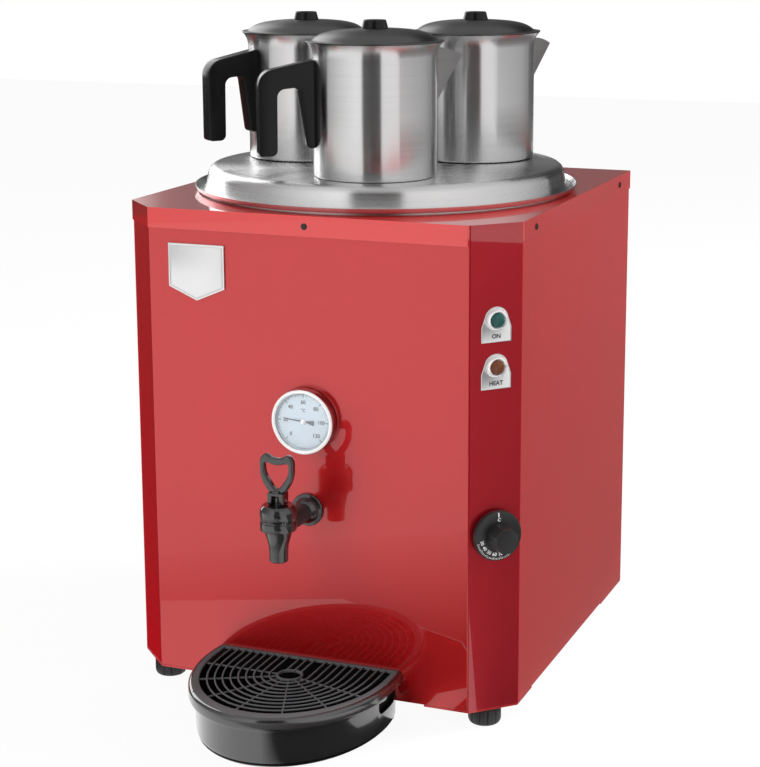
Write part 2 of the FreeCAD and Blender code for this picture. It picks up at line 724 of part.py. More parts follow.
def tapFixed():
    body = newBody("tap_body", "0", tapY)
    turn(body, [
        ("0", "spoutBottom"), ("9.2", "spoutBottom"), ("9.6", "seatZ - 1"), ("12", "seatZ + 6"),
        ("15", "collarBottom - 1"), ("collarRadius", "collarBottom"), ("collarRadius", "collarSplit"),
        ("0", "collarSplit"),
    ])
    pad(body, "XZ", [("circle", "0", "tapZ", "armRadius")], "tapReach", reverse=True)
    pad(body, "XZ", [("circle", "0", "tapZ", "12")], "5", "-(tapReach - 12)", reverse=True)
    pad(body, "XZ", [("circle", "0", "tapZ", "16")], "8", "-(tapReach - 8)", reverse=True)
    pad(body, "XZ", [("circle", "0", "tapZ", "tailRadius")], "tailReach", "-tapReach", reverse=True)
    cut(body, "XY", [("circle", "0", "0", "chamberRadius")], "collarSplit - seatZ", "collarSplit")
    cut(body, "XY", [("circle", "0", "0", "6.2")], "seatZ - spoutBottom + 1", "seatZ")
    cut(body, "XZ", [("circle", "0", "tapZ", "armBore")], "tapReach + tailReach + 1")
    cap = newBody("tap_cap", "0", tapY)
    turn(cap, [
        ("chamberRadius", "collarSplit"), ("collarRadius - 0.7", "collarSplit"),
        ("collarRadius - 0.7", "collarSplit + 1.4"), ("collarRadius", "collarSplit + 1.6"),
        ("collarRadius", "capTop - 2.6"), ("collarRadius - 2.6", "capTop"),
        ("plungerRadius + 0.3", "capTop"), ("plungerRadius + 0.3", "capTop - 3.7"),
        ("chamberRadius", "capTop - 3.7"),
    ])
    nut = newBody("tap_lock_nut", "0", "frontY + wall", "tapZ", outRear)
    pad(nut, "XY", [hexagon("0", "0", "tapNutFlats"), ("circle", "0", "0", "tailRadius + threadGap")], "6")


def tapMoving():
    plunger = newBody("tap_plunger", "0", tapY)
    turn(plunger, [
        ("0", "seatZ + 2.6"), ("7.2", "seatZ + 2.6"), ("7.2", "seatZ + 4.6"),
        ("plungerRadius", "seatZ + 4.6"), ("plungerRadius", "plungerTop"), ("0", "plungerTop"),
    ])
    cut(plunger, "YZ", [("circle", "0", "pivotZ", "pinRadius + 0.02")], "through")
    seal = newBody("tap_seal", "0", tapY)
    turn(seal, [("0", "seatZ + 0.3"), ("7", "seatZ + 0.3"), ("7.7", "seatZ + 1"), ("7.7", "seatZ + 2.6"),
                ("0", "seatZ + 2.6")])
    pin = newBody("tap_pivot_pin", "0", tapY)
    pad(pin, "YZ", [("circle", "0", "pivotZ", "pinRadius")], "blockWidth", "-blockWidth / 2")
    wire, coil, low, high = 0.45, 6, num("seatZ + 5.1"), num("capTop - 4.3")
    turns = 9
    helix = Part.makeHelix((high - low) / turns, high - low, coil)
    helix.translate(Vector(0, 0, low))
    ring = Part.Wire([Part.Circle(Vector(coil, 0, low), Vector(0, 1, 0), wire).toShape()])
    spring = Part.Wire(helix.Edges).makePipeShell([ring], True, True)
    newFeature("tap_spring", spring, "0", tapY)


def tapLever():
    # A forked block on the pin, with a ring handle that has two horns and a hollow top.
    low, high = num("blockBottom"), num("blockTop")
    wide, deep = num("blockWidth"), num("blockDepth")
    top, thick = num("leverTop"), num("leverDepth")
    block = Part.makeBox(wide, deep, high - low, Vector(-wide / 2, -deep / 2, low))
    block = block.makeChamfer(2.2, [edge for edge in block.Edges
                                    if edge.BoundBox.XLength > 10 and edge.BoundBox.ZMax < low + 0.1])
    block = block.makeChamfer(1.2, [edge for edge in block.Edges
                                    if edge.BoundBox.XLength > 10 and edge.BoundBox.ZMin > high - 0.1])
    slot = num("plungerRadius") + 0.35
    fork = Part.makeBox(2 * slot, deep + 2, num("forkRoof") - low + 1, Vector(-slot, -deep / 2 - 1, low - 1))
    block = block.cut(fork)

    def arcs(stations, y):
        # The stations run bottom, left side, left horn, hollow, and are mirrored to the right.
        left = [Vector(-x, y, z) for x, z in stations]
        right = [Vector(x, y, z) for x, z in stations]
        hollow = Vector(0, y, stations[5][1])
        bends = [left[:3], left[2:5], [left[4], hollow, right[4]], right[4:1:-1], right[2::-1]]
        edges = [Part.Arc(*bend).toShape() for bend in bends]
        edges.append(Part.LineSegment(right[0], left[0]).toShape())
        return Part.Face(Part.Wire(edges))

    outer = [(6.4, high - 1.5), (14.6, top - 26), (17.5, top - 14), (16.6, top - 4.6), (11.5, top),
             (0, top - 4.6)]
    inner = [(1.2, high + 2.2), (9, top - 24.5), (12, top - 14), (12, top - 10.2), (9, top - 8),
             (0, top - 9.6)]
    ring = arcs(outer, -thick / 2).extrude(Vector(0, thick, 0))
    hole = arcs(inner, -thick).extrude(Vector(0, 2 * thick, 0))
    lever = block.fuse(ring.cut(hole)).removeSplitter()
    start = Vector(-wide / 2 - 1, 0, num("pivotZ"))
    bore = Part.makeCylinder(num("pinRadius") + 0.06, wide + 2, start, Vector(1, 0, 0))
    newFeature("tap_lever", lever.cut(bore), "0", tapY)


def lampPlateOutline(height):
    # Straight sides below, leaning in to a round head over the lamp.
    half = "lampPlateWidth / 2"
    foot = height + " - lampPlateDrop"
    head = [("(lampRing + 2) * cos(%d)" % angle, "%s + (lampRing + 2) * sin(%d)" % (height, angle))
            for angle in range(30, 151, 20)]
    return [("-" + half, foot), (half, foot), (half, foot + " + 14")] + head + [("-" + half, foot + " + 14")]


def lamps():
    place = ("bodyWidth / 2 - cham / 2", "frontY + cham / 2", "0", outCorner)
    levels = ("lampUpperZ", "lampLowerZ")
    plates = newBody("lamp_plates", *place)
    loops = []
    for level in levels:
        loops += [lampPlateOutline(level), ("circle", "0", level, "lampBarrel + 0.1")]
    pad(plates, "XY", loops, "lampPlateWall")
    housings = newBody("lamp_housings", *place)
    barrels = [("circle", "0", level, "lampBarrel") for level in levels]
    pad(housings, "XY", barrels, "24 + lampPlateWall", "-24")
    pad(housings, "XY", [("circle", "0", level, "lampRing") for level in levels], "1", "lampPlateWall")
    rings = [("circle", "0", level, radius) for level in levels
             for radius in ("lampRing", "lampLens + 0.1")]
    pad(housings, "XY", rings, "2.2", "lampPlateWall + 1")
    for name, level in (("green_lens", "lampUpperZ"), ("amber_lens", "lampLowerZ")):
        lens = newBody(name, place[0], place[1], level, outCorner)
        low = "lampPlateWall + 1"
        turn(lens, [
            ("0", low), ("lampLens", low), ("lampLens", low + " + 1.6"),
            ("lampLens - 1.4", low + " + 3"), ("lampLens - 3.6", low + " + 3.8"), ("0", low + " + 4"),
        ])


def thermostat():
    place = ("bodyWidth / 2 - cham / 2", "frontY + cham / 2", "knobZ", outCorner)
    body = newBody("thermostat_body", *place)
    bore = ("circle", "0", "0", "shaftRadius + threadGap")
    case = [("-20", "-22"), ("20", "-22"), ("20", "22"), ("-20", "22")]
    pad(body, "XY", [case, bore], "36", "-2 * wall - 36")
    pad(body, "XY", [("circle", "0", "0", "10"), bore], "wall", "-2 * wall")
    pad(body, "XY", [("circle", "0", "0", "bushRadius"), bore], "wall + 2.2", "-wall")
    shaft = newBody("thermostat_shaft", *place)
    pad(shaft, "XY", [("circle", "0", "0", "shaftRadius")], "38", "-20")
    knob = newBody("thermostat_knob", *place)
    turn(knob, [
        ("shaftRadius + 0.02", "3"), ("knobRadius - 0.6", "3"), ("knobRadius", "4"),
        ("knobRadius", "knobDisc - 1"), ("knobRadius - 1", "knobDisc"), ("shaftRadius + 0.02", "knobDisc"),
    ])
    corner = "gripFlats / 2 / cos(22.5)"
    grip = [("%s * cos(%g)" % (corner, angle), "%s * sin(%g)" % (corner, angle))
            for angle in (22.5 + 45 * side for side in range(8))]
    pad(knob, "XY", [grip, ("circle", "0", "0", "shaftRadius + 0.02")], "18 - knobDisc", "knobDisc")
    pad(knob, "XY", [grip], "knobTop - 18", "18")
    roundEdges(knob, "1", lambda edge: edge.BoundBox.ZMin > num("knobTop") - 0.1)
    under = num("knobZ") - 22
    start = at("bodyWidth / 2 - cham / 2 - 14", "frontY + cham / 2 + 14", "0")
    bulbTop, bulbFoot, bend = num("tankBottom") + 90, num("tankBottom") - 12, 12
    bulbPlace = at("bulbX", tankY + " - bulbBack", "0")
    level = 90
    route = [Vector(start.x, start.y, under), Vector(start.x, start.y, level),
             Vector(bulbPlace.x, bulbPlace.y, level), Vector(bulbPlace.x, bulbPlace.y, bulbFoot)]
    capillary = pipe(route, [bend, bend], 1.2)
    foot = Vector(bulbPlace.x, bulbPlace.y, bulbFoot)
    bulb = Part.makeCylinder(num("bulbRadius"), bulbTop - bulbFoot, foot)
    newFeature("thermostat_bulb", capillary.fuse(bulb).removeSplitter())


def halfEllipse(wide, reach, centre, back, low, high):
    # A prism whose plan is an ellipse cut off straight at the back.
    curve = Part.Ellipse(Vector(0, centre - reach, low), Vector(wide, centre, low), Vector(0, centre, low))
    prism = Part.Face(Part.Wire([curve.toShape()])).extrude(Vector(0, 0, high - low))
    block = Part.makeBox(2 * wide + 4, 2 * reach + 4, high - low + 2, Vector(-wide - 2, back, low - 1))
    return prism.cut(block)


def dripTray():
    wide, reach, top = num("trayWidth"), num("trayReach"), num("trayTop")
    centre, back = num("frontY - trayCentre"), num("frontY - 0.3")
    low, lip, step, wall = num("trayFloor"), num("trayLip"), num("trayStep"), num("trayWall")
    deck = top - num("grateWall")
    rim = halfEllipse(wide, reach, centre, back, top - lip, top)
    brim = [edge for edge in rim.Edges if edge.BoundBox.YLength > 50 and edge.BoundBox.ZMin > top - 1]
    rim = rim.makeFillet(3.5, brim)
    bowl = halfEllipse(wide - step, reach - step, centre, back, low, top - lip + 1)
    hem = [edge for edge in bowl.Edges if edge.BoundBox.YLength > 50 and edge.BoundBox.ZMax < low + 1]
    bowl = bowl.makeFillet(5, hem)
    shell = rim.fuse(bowl).removeSplitter()
    inset = step + wall
    shell = shell.cut(halfEllipse(wide - inset, reach - inset, centre, back - wall, low + wall, top + 1))
    inset = num("grateInset")
    shell = shell.cut(halfEllipse(wide - inset, reach - inset, centre, back - wall, deck, top + 1))
    # side mouths behind the bowl, under the deck
    mouth = Part.makeBox(2 * wide + 4, 42, 20, Vector(-wide - 2, back - 46, deck - 26))
    mouth = mouth.makeFillet(8, [edge for edge in mouth.Edges if edge.BoundBox.XLength > 50])
    newFeature("drip_tray", shell.cut(mouth))


def dripGrate():
    # Nested U-shaped bars around a drain ring, tied by short bridges.
    top, thick, gap = num("trayTop"), num("grateWall"), num("grateGap")
    low = top - thick + gap
    inset = num("grateInset") + gap
    centre, back = num("frontY - trayCentre"), num("frontY - 0.3 - trayWall") - gap
    plate = halfEllipse(num("trayWidth") - inset, num("trayReach") - inset, centre, back, low, top)
    count = int(num("barCount"))
    ring, bar = num("ringRadius"), num("barWall")
    ringY, fieldY = num("frontY - ringCentre"), num("frontY - slotCentre")
    rowEnd = back - 3

    def shape(step, grow, low, high):
        # The solid inside bar number step: half an ellipse in front, straight sides behind.
        share = step / count
        wide = ring + (num("slotWidth") - ring) * share + grow
        reach = ring + (num("slotReach") - ring) * share + grow
        middle = ringY + (fieldY - ringY) * share
        nose = halfEllipse(wide, reach, middle, middle, low, high) if reach > wide else None
        if nose is None:
            nose = Part.makeCylinder(wide, high - low, Vector(0, middle, low))
        tail = Part.makeBox(2 * wide, rowEnd - middle, high - low, Vector(-wide, middle, low))
        return nose.fuse(tail).removeSplitter()

    for step in range(count):
        outer = shape(step + 1, -bar / 2, low - 1, top + 1)
        inner = shape(step, bar / 2, low - 2, top + 2)
        plate = plate.cut(outer.cut(inner))
    plate = plate.cut(Part.makeCylinder(ring - bar / 2, thick + 4, Vector(0, ringY, low - 2)))
    behind = rowEnd - ringY - ring
    for side in (-1, 1):
        start = min(0, side * (ring - bar * 1.5)) + side * bar / 2
        slot = Part.makeBox(ring - bar * 1.5, behind, thick + 4, Vector(start, ringY + ring + bar, low - 2))
        plate = plate.cut(slot)
    field = shape(count, 0, low, top)
    for angle in (205, 235, 258, 282, 305, 335):
        tie = Part.makeBox(num("slotReach"), bar, thick * 0.5, Vector(ring, -bar / 2, low))
        tie.rotate(Vector(0, 0, 0), Vector(0, 0, 1), angle)
        tie.translate(Vector(0, ringY, 0))
        plate = plate.fuse(tie.common(field))
    newFeature("drip_grate", plate.removeSplitter())


def steamLid():
    body = newBody("steam_lid", "0", tankY)
    rim, lip, top = "lidRadius", "lidLip", "lidTop"
    low, skin, edge = "lidBottom", "lidWall", "lidShoulder"
    outside = [
        (rim, lip), (rim + " - 1.2", lip), (rim + " - 3", low + " + 1.8"),
        (rim + " - 4", low + " + " + skin), (rim + " - 8", low + " + " + skin),
        (edge + " + 2.4", low + " + 5.5"), (edge + " + 0.4", top + " - 7.5"),
        (edge + " - 1.4", top + " - 3.4"), (edge + " - 4.6", top + " - 0.8"), (edge + " - 9", top),
        ("0", top),
    ]
    inside = [
        ("0", top + " - " + skin), (edge + " - 9.3", top + " - " + skin),
        (edge + " - 5.2", top + " - 1.7"), (edge + " - 2.3", top + " - 4"),
        (edge + " - 0.6", top + " - 7.7"), (edge + " + 1.4", low + " + 5"),
        (rim + " - 8.6", low), (rim + " - 3.4", low), (rim + " - 2", low + " + 1.2"),
    ]
    turn(body, outside + inside)


potNames = {"front": -74, "right": 46, "left": 166}
handleTurns = {"front": 213, "right": 224, "left": 230}


def pots():
    wall, radius = num("potWall"), num("potRadius")
    for name, turned in potNames.items():
        x = "potCircle * cos(%d)" % turned
        y = "%s + potCircle * sin(%d)" % (tankY, turned)
        z = "lidTop + potGap"
        facing = Rotation(Vector(0, 0, 1), handleTurns[name])
        flare, high = num("potFlare"), num("potHeight")
        outline = [(0, 0), (radius - 2.5, 0), (radius, 2.5), (radius, high - 13),
                   (radius + 0.8, high - 8), (radius + 2.8, high - 3.5), (flare, high)]
        inner = [(flare - wall, high), (radius + 2, high - 3.6), (radius, high - 8.2),
                 (radius - wall, high - 13.2), (radius - wall, 3), (radius - 3, wall), (0, wall)]
        profile = Part.makePolygon([Vector(r, 0, h) for r, h in outline + inner + outline[:1]])
        vessel = Part.Face(profile).revolve(Vector(0, 0, 0), Vector(0, 0, 1), 360)
        half, root = num("spoutHalf"), math.sqrt(radius ** 2 - num("spoutHalf") ** 2) - 0.3
        crown = [Vector(-root, -half, num("spoutTop")), Vector(-root, half, num("spoutTop")),
                 Vector(-radius - num("spoutReach"), 0, num("spoutTip"))]
        foot = Vector(-root - 2.5, 0, num("spoutFoot"))

        def wedge(points, point):
            faces = [Part.Face(Part.makePolygon([a, b, c, a])) for a, b, c in
                     ((points[0], points[1], points[2]), (points[0], points[1], point),
                      (points[1], points[2], point), (points[2], points[0], point))]
            return Part.Solid(Part.Shell(faces))

        middle = (crown[0] + crown[1]) * 0.5
        inside = [middle + (point - middle) * 0.93 + Vector(0, 0, 2.5) for point in crown]
        spout = wedge(crown, foot)
        spout = spout.cut(wedge(inside, middle + (foot - middle) * 0.93 + Vector(0, 0, 2.5)))
        spout = spout.cut(Part.makeCylinder(radius - 0.02, num("spoutTop") + 10))
        newFeature(name + "_pot", vessel.fuse(spout).removeSplitter(), x, y, z, facing)

        reach, under, legFoot = num("handleReach"), num("handleUnder"), num("handleFoot")
        innerLeg = reach - num("legWidth")
        corners = [(radius - 4, num("handleTop")), (reach, num("handleCorner")), (reach, legFoot),
                   (innerLeg, legFoot), (innerLeg - 1, under), (radius + 15, under + 2),
                   (radius + 7.5, num("handleTipZ")), (radius - 4, num("handleTipZ"))]
        wide = num("handleWidth")
        wire = roundedWire(corners, [1, 13, 4, 6, 7, 5, 4, 1], -wide / 2)
        grip = Part.Face(wire).extrude(Vector(0, wide, 0))
        rims = [edge for edge in grip.Edges
                if edge.BoundBox.YLength < 0.01 and edge.BoundBox.XMax > radius + 1]
        grip = grip.makeFillet(3, rims)
        grip = grip.cut(Part.makeCylinder(radius + 0.03, high + 20, Vector(0, 0, -5)))
        newFeature(name + "_pot_handle", grip, x, y, z, facing)

        cover = newBody(name + "_pot_lid", x, y, z, facing)
        base = "potHeight + 0.3"
        turn(cover, [
            ("0", "potLidTop"), ("30", "potLidTop - 0.9"), ("45", "potLidTop - 3"),
            ("54", "potLidTop - 6.2"), ("60", base + " + 1.2"), ("potLidRadius", base + " + 0.9"),
            ("potLidRadius", base), ("59.2", base), ("59.2", base + " - 6"), ("58.4", base + " - 6"),
            ("58.4", base + " + 0.2"), ("53.4", "potLidTop - 7.2"), ("44.8", "potLidTop - 3.9"),
            ("30", "potLidTop - 1.8"), ("0", "potLidTop - 0.9"),
        ])
        knob = newBody(name + "_pot_knob", x, y, z, facing)
        turn(knob, [("0", "potLidTop"), ("6", "potLidTop"), ("knobBase", "potLidTop - 0.1"),
                    ("knobBase", "potLidTop + 0.8"), ("knobCrown + 0.3", "knobCrownZ - 1.2"),
                    ("knobCrown - 0.6", "knobCrownZ"), ("0", "knobCrownZ")])


for build in (frontPanel, sidePanels, rearPanel, controlPanel, topCover, floorPlates, screws, badge, feet,
              tank, heater, rearFittings, thermometer, tapFixed, tapMoving, tapLever, lamps, thermostat,
              dripTray, dripGrate, steamLid, pots):
    build()

doc.recompute()
faults = [item.Name for item in doc.Objects if "Invalid" in item.State or "Error" in item.State]
faults += [piece.Label for piece in pieces if piece.Shape.isNull() or not piece.Shape.isValid()]
if faults:
    raise ValueError("faulty: " + ", ".join(faults))

os.makedirs("parts", exist_ok=True)
for piece in pieces:
    piece.Shape.exportStep("parts/%s.step" % piece.Label)
    solids = len(piece.Shape.Solids)
    print("%-20s %d solids %10.0f mm3" % (piece.Label, solids, piece.Shape.Volume))
everything = Part.makeCompound([piece.Shape for piece in pieces])
print(len(pieces), "pieces in", everything.BoundBox)
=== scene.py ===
import math
import bmesh
import bpy
from mathutils import Euler, Matrix, Vector


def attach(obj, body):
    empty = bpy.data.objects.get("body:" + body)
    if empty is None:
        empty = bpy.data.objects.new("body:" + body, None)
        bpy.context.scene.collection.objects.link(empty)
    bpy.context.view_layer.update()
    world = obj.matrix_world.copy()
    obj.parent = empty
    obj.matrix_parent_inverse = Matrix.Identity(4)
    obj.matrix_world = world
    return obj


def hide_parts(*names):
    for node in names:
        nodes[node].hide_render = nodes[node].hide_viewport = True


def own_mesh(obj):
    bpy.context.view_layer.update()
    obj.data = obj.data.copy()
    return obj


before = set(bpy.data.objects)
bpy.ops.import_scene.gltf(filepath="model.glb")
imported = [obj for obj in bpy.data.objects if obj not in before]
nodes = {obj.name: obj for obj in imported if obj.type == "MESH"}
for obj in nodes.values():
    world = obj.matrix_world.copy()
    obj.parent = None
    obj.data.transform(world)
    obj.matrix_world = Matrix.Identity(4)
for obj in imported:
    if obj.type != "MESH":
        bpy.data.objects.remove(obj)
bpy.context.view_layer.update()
print("frame loaded:", len(nodes), "nodes")

# Places are in millimetres in the frame of the part, and mm turns them into metres.
mm = 0.001
middleX, frontY, rearY, tankY, tapY = -3.32, -136.5, 275.5, 68.0, -203.5
halfWidth, corner = 200, 18.4  # half the cabinet, and how far in the middle of the corner strip lies
screwZ = 474  # the height of the screws in the top cover's skirt
toFront = (90, 0, 0)  # a piece's own +Z points out of the front panel
toCorner = (90, 0, 45)  # out of the strip on the right front corner
toRear = (90, 0, 180)  # out of the rear panel


# Modelling helpers
def clearSelection():
    if bpy.context.mode != "OBJECT":
        bpy.ops.object.mode_set(mode="OBJECT")
    bpy.ops.object.select_all(action="DESELECT")


def only(piece):
    clearSelection()
    piece.select_set(True)
    bpy.context.view_layer.objects.active = piece


def named(name):
    piece = bpy.context.object
    piece.name = name
    piece.data.name = name
    return piece


def enter(piece, kind="EDGE"):
    only(piece)
    bpy.ops.object.mode_set(mode="EDIT")
    bpy.ops.mesh.select_mode(type=kind)
    bpy.ops.mesh.select_all(action="SELECT")


def selectAll():
    bpy.ops.mesh.select_all(action="SELECT")


def leave():
    bpy.ops.object.mode_set(mode="OBJECT")


def slide(x=0.0, y=0.0, z=0.0):
    bpy.ops.transform.translate(value=(x * mm, y * mm, z * mm))


def widen(x, y, height=0.0):
    bpy.ops.transform.resize(value=(x, y, 1), center_override=(0, 0, height * mm))


def drawOut(x=0.0, y=0.0, z=0.0):
    bpy.ops.mesh.extrude_region_move(TRANSFORM_OT_translate={"value": (x * mm, y * mm, z * mm)})


def inset(*steps):
    for width, depth in steps:
        bpy.ops.mesh.inset(thickness=width * mm, depth=depth * mm)


def pick(piece, kind, test):
    # Selects the points, edges or faces that pass the test. The piece is in edit mode.
    bpy.ops.mesh.select_mode(type=kind)
    bpy.ops.mesh.select_all(action="DESELECT")
    mesh = bmesh.from_edit_mesh(piece.data)
    group = {"VERT": mesh.verts, "EDGE": mesh.edges, "FACE": mesh.faces}[kind]
    for item in group:
        if test(item):
            item.select_set(True)
    mesh.select_flush_mode()
    bmesh.update_edit_mesh(piece.data)


def tidyNormals(piece, merge=0.002):
    enter(piece)
    bpy.ops.mesh.remove_doubles(threshold=merge * mm)
    bpy.ops.mesh.normals_make_consistent()
    leave()


def smooth(piece, angle=32):
    only(piece)
    bpy.ops.object.shade_smooth_by_angle(angle=math.radians(angle))
    return piece


def modify(piece, kind, **settings):
    only(piece)
    modifier = piece.modifiers.new(kind.lower(), kind)
    for key, value in settings.items():
        setattr(modifier, key, value)
    bpy.ops.object.modifier_apply(modifier=modifier.name)
    return piece


def bevel(piece, width, segments=2, angle=35):
    return modify(piece, "BEVEL", width=width * mm, segments=segments, limit_method="ANGLE",
                  angle_limit=math.radians(angle))


def flatten(piece):
    # Keeps broad flat faces flat where small rounded edges meet them.
    return modify(piece, "WEIGHTED_NORMAL", keep_sharp=True)


def combine(piece, other, operation="DIFFERENCE"):
    modify(piece, "BOOLEAN", object=other, operation=operation, solver="EXACT")
    bpy.data.objects.remove(other)
    return piece


def join(pieces, name):
    clearSelection()
    for piece in pieces:
        piece.select_set(True)
    bpy.context.view_layer.objects.active = pieces[0]
    bpy.ops.object.join()
    pieces[0].name = name
    return pieces[0]


def put(piece, x=0.0, y=0.0, z=0.0, turn=(0, 0, 0)):
    # Moves a piece made at the origin to its place, and leaves that place in its mesh.
    piece.location = (x * mm, y * mm, z * mm)
    piece.rotation_euler = Euler([math.radians(angle) for angle in turn])
    only(piece)
    bpy.ops.object.transform_apply(location=True, rotation=True, scale=True)
    return piece


def copyOf(piece, name):
    twin = bpy.data.objects.new(name, piece.data.copy())
    bpy.context.scene.collection.objects.link(twin)
    return twin


def circle(name, sides, fill="NOTHING"):
    clearSelection()
    bpy.ops.mesh.primitive_circle_add(vertices=sides, radius=mm, fill_type=fill)
    return named(name)


def lathe(name, stations, sides=64, plan=None):
    # Extrudes a ring from one (radius, height) station to the next, and caps the ends unless the last station
    # is the first one again. plan gives the ring's x and y reach.
    reach = plan or (lambda radius: (radius, radius))
    loop = stations[0] == stations[-1]
    piece = circle(name, sides)
    enter(piece)
    across, along = reach(stations[0][0])
    widen(across, along)
    slide(z=stations[0][1])
    if not loop:
        bpy.ops.mesh.edge_face_add()
    for (before, low), (radius, high) in zip(stations, stations[1:]):
        bpy.ops.mesh.extrude_edges_indiv()
        slide(z=high - low)
        wide, deep = reach(radius)
        if wide < 0.001:
            bpy.ops.mesh.merge(type="CENTER")
            break
        widen(wide / across, deep / along)
        across, along = wide, deep
    else:
        if not loop:
            bpy.ops.mesh.edge_face_add()
    leave()
    tidyNormals(piece)
    return smooth(piece)


def isTop(face):
    return face.normal.z > 0.9


def plate(name, corners, low, high):
    # A flat plate whose outline is a ring of points set to the corners.
    piece = circle(name, len(corners), "NGON")
    for point, (x, y) in zip(piece.data.vertices, corners):
        point.co = (x * mm, y * mm, low * mm)
    enter(piece, "FACE")
    drawOut(z=high - low)
    leave()
    tidyNormals(piece)
    return piece


def box(name, lowest, highest):
    size = [(high - low) * mm for low, high in zip(lowest, highest)]
    middle = [(low + high) / 2 * mm for low, high in zip(lowest, highest)]
    clearSelection()
    bpy.ops.mesh.primitive_cube_add(size=1, location=middle, scale=size)
    piece = named(name)
    bpy.ops.object.transform_apply(location=True, rotation=True, scale=True)
    return piece


def grid(name, across, along, place):
    # A sheet of squares whose points are set by place(u, v), with u and v from 0 to 1.
    clearSelection()
    bpy.ops.mesh.primitive_grid_add(x_subdivisions=across, y_subdivisions=along, size=2)
    piece = named(name)
    for point in piece.data.vertices:
        x, y, z = place((point.co.x + 1) / 2, (point.co.y + 1) / 2)
        point.co = (x * mm, y * mm, z * mm)
    return piece


def atAngle(reach, degrees):
    return reach * math.cos(math.radians(degrees)), reach * math.sin(math.radians(degrees))


def letters(name, text, size, x, y, z, turn=0.0, weight=0.12):
    # Flat raised lettering, centred on its place.
    clearSelection()
    bpy.ops.object.text_add(location=(0, 0, 0))
    piece = bpy.context.object
    piece.data.body = text
    piece.data.size = size * mm
    piece.data.align_x = "CENTER"
    piece.data.align_y = "CENTER"
    piece.data.extrude = 0.06 * mm
    piece.data.offset = weight * mm
    piece.data.resolution_u = 4
    bpy.ops.object.convert(target="MESH")
    piece = named(name)
    return put(piece, x, y, z, (0, 0, turn))


# Shader helpers
class Value:
    # A socket in a material. Sums and products of values add Math nodes.
    def __init__(self, paint, socket):
        self.paint = paint
        self.socket = socket

    def maths(self, operation, first, second=None, third=None):
        values = [value for value in (first, second, third) if value is not None]
        return self.paint.node("Math", {"operation": operation}, dict(enumerate(values)))

    def __add__(self, other):
        return self.maths("ADD", self, other)

    __radd__ = __add__

    def __mul__(self, other):
        return self.maths("MULTIPLY", self, other)

    __rmul__ = __mul__


class Paint:
    # One material, its Principled shader and its object coordinates.
    def __init__(self, name):
        self.material = bpy.data.materials.new(name)
        self.material.use_nodes = True
        self.tree = self.material.node_tree
        self.shader = next(node for node in self.tree.nodes if node.type == "BSDF_PRINCIPLED")
        self.place = self.node("TexCoord", {}, {}, "Object")

    def node(self, kind, settings, values, output=0):
        made = self.tree.nodes.new("ShaderNode" + kind)
        for key, setting in settings.items():
            if key == "stops":
                for index, (position, colour) in enumerate(setting):
                    stops = made.color_ramp.elements
                    stop = stops[index] if index < len(stops) else stops.new(position)
                    stop.position = position
                    stop.color = colour
            else:
                setattr(made, key, setting)
        for key, value in values.items():
            self.feed(made.inputs[key], value)
        return Value(self, made.outputs[output])

    def feed(self, socket, value):
        if isinstance(value, Value):
            self.tree.links.new(value.socket, socket)
        else:
            socket.default_value = value

    def set(self, **values):
        for key, value in values.items():
            self.feed(self.shader.inputs[key.replace("_", " ")], value)
        return self

    def noise(self, scale, detail=2.0, stretch=(1, 1, 1)):
        where = self.node("Mapping", {}, {"Vector": self.place, "Scale": stretch}, "Vector")
        return self.node("TexNoise", {}, {"Vector": where, "Scale": scale, "Detail": detail}, "Fac")

    def blend(self, share, first, second):
        return self.node("Mix", {"data_type": "RGBA"}, {0: share, 6: first, 7: second}, 2)

    def show(self, shader):
        # Puts this shader in the place of the Principled one.
        output = next(node for node in self.tree.nodes if node.type == "OUTPUT_MATERIAL")
        self.tree.links.new(shader.socket, output.inputs["Surface"])
        return self.material

    def bump(self, height, strength, distance):
        sizes = {"Height": height, "Strength": strength, "Distance": distance}
        return self.set(Normal=self.node("Bump", {}, sizes, "Normal"))


def shade(level):
    return (level, level, level, 1)


def scaled(colour, share):
    return tuple(min(1, part * share) for part in colour[:3]) + (1,)


def gloss(name, colour, roughness, change=0.06, grain=60, relief=0.02, **extra):
    # Paint or moulded plastic: slightly uneven colour and gloss, with a faint orange peel.
    paint = Paint(name)
    cloud = paint.noise(grain / 4, 3)
    paint.set(Base_Color=paint.blend(cloud, scaled(colour, 1 - 2 * change), scaled(colour, 1 + 2 * change)),
              Roughness=roughness * (1 - change) + cloud * (2 * change * roughness), **extra)
    paint.bump(paint.noise(grain * 10, 2), relief, 0.2 * mm)
    return paint.material


def brushed(name, level, roughness, stretch, relief=0.12, change=0.16, tint=(1, 1, 1), metal=1.0, spread=0.0):
    # Steel with a fine grain: the noise is long in one direction and short in the other. The spread draws the
    # reflections out across the grain of a turned piece.
    paint = Paint(name)
    grain = paint.noise(1, 3, stretch)
    cloud = paint.noise(9, 2)
    low, high = scaled(tint, level * (1 - change)), scaled(tint, min(1, level * (1 + change)))
    paint.set(Base_Color=paint.blend(grain * 0.8 + cloud * 0.2, low, high), Metallic=metal,
              Anisotropic=spread, Anisotropic_Rotation=0.25,
              Roughness=roughness * 0.75 + grain * (0.4 * roughness) + cloud * (0.1 * roughness))
    paint.bump(grain, relief, 0.05 * mm)
    return paint.material


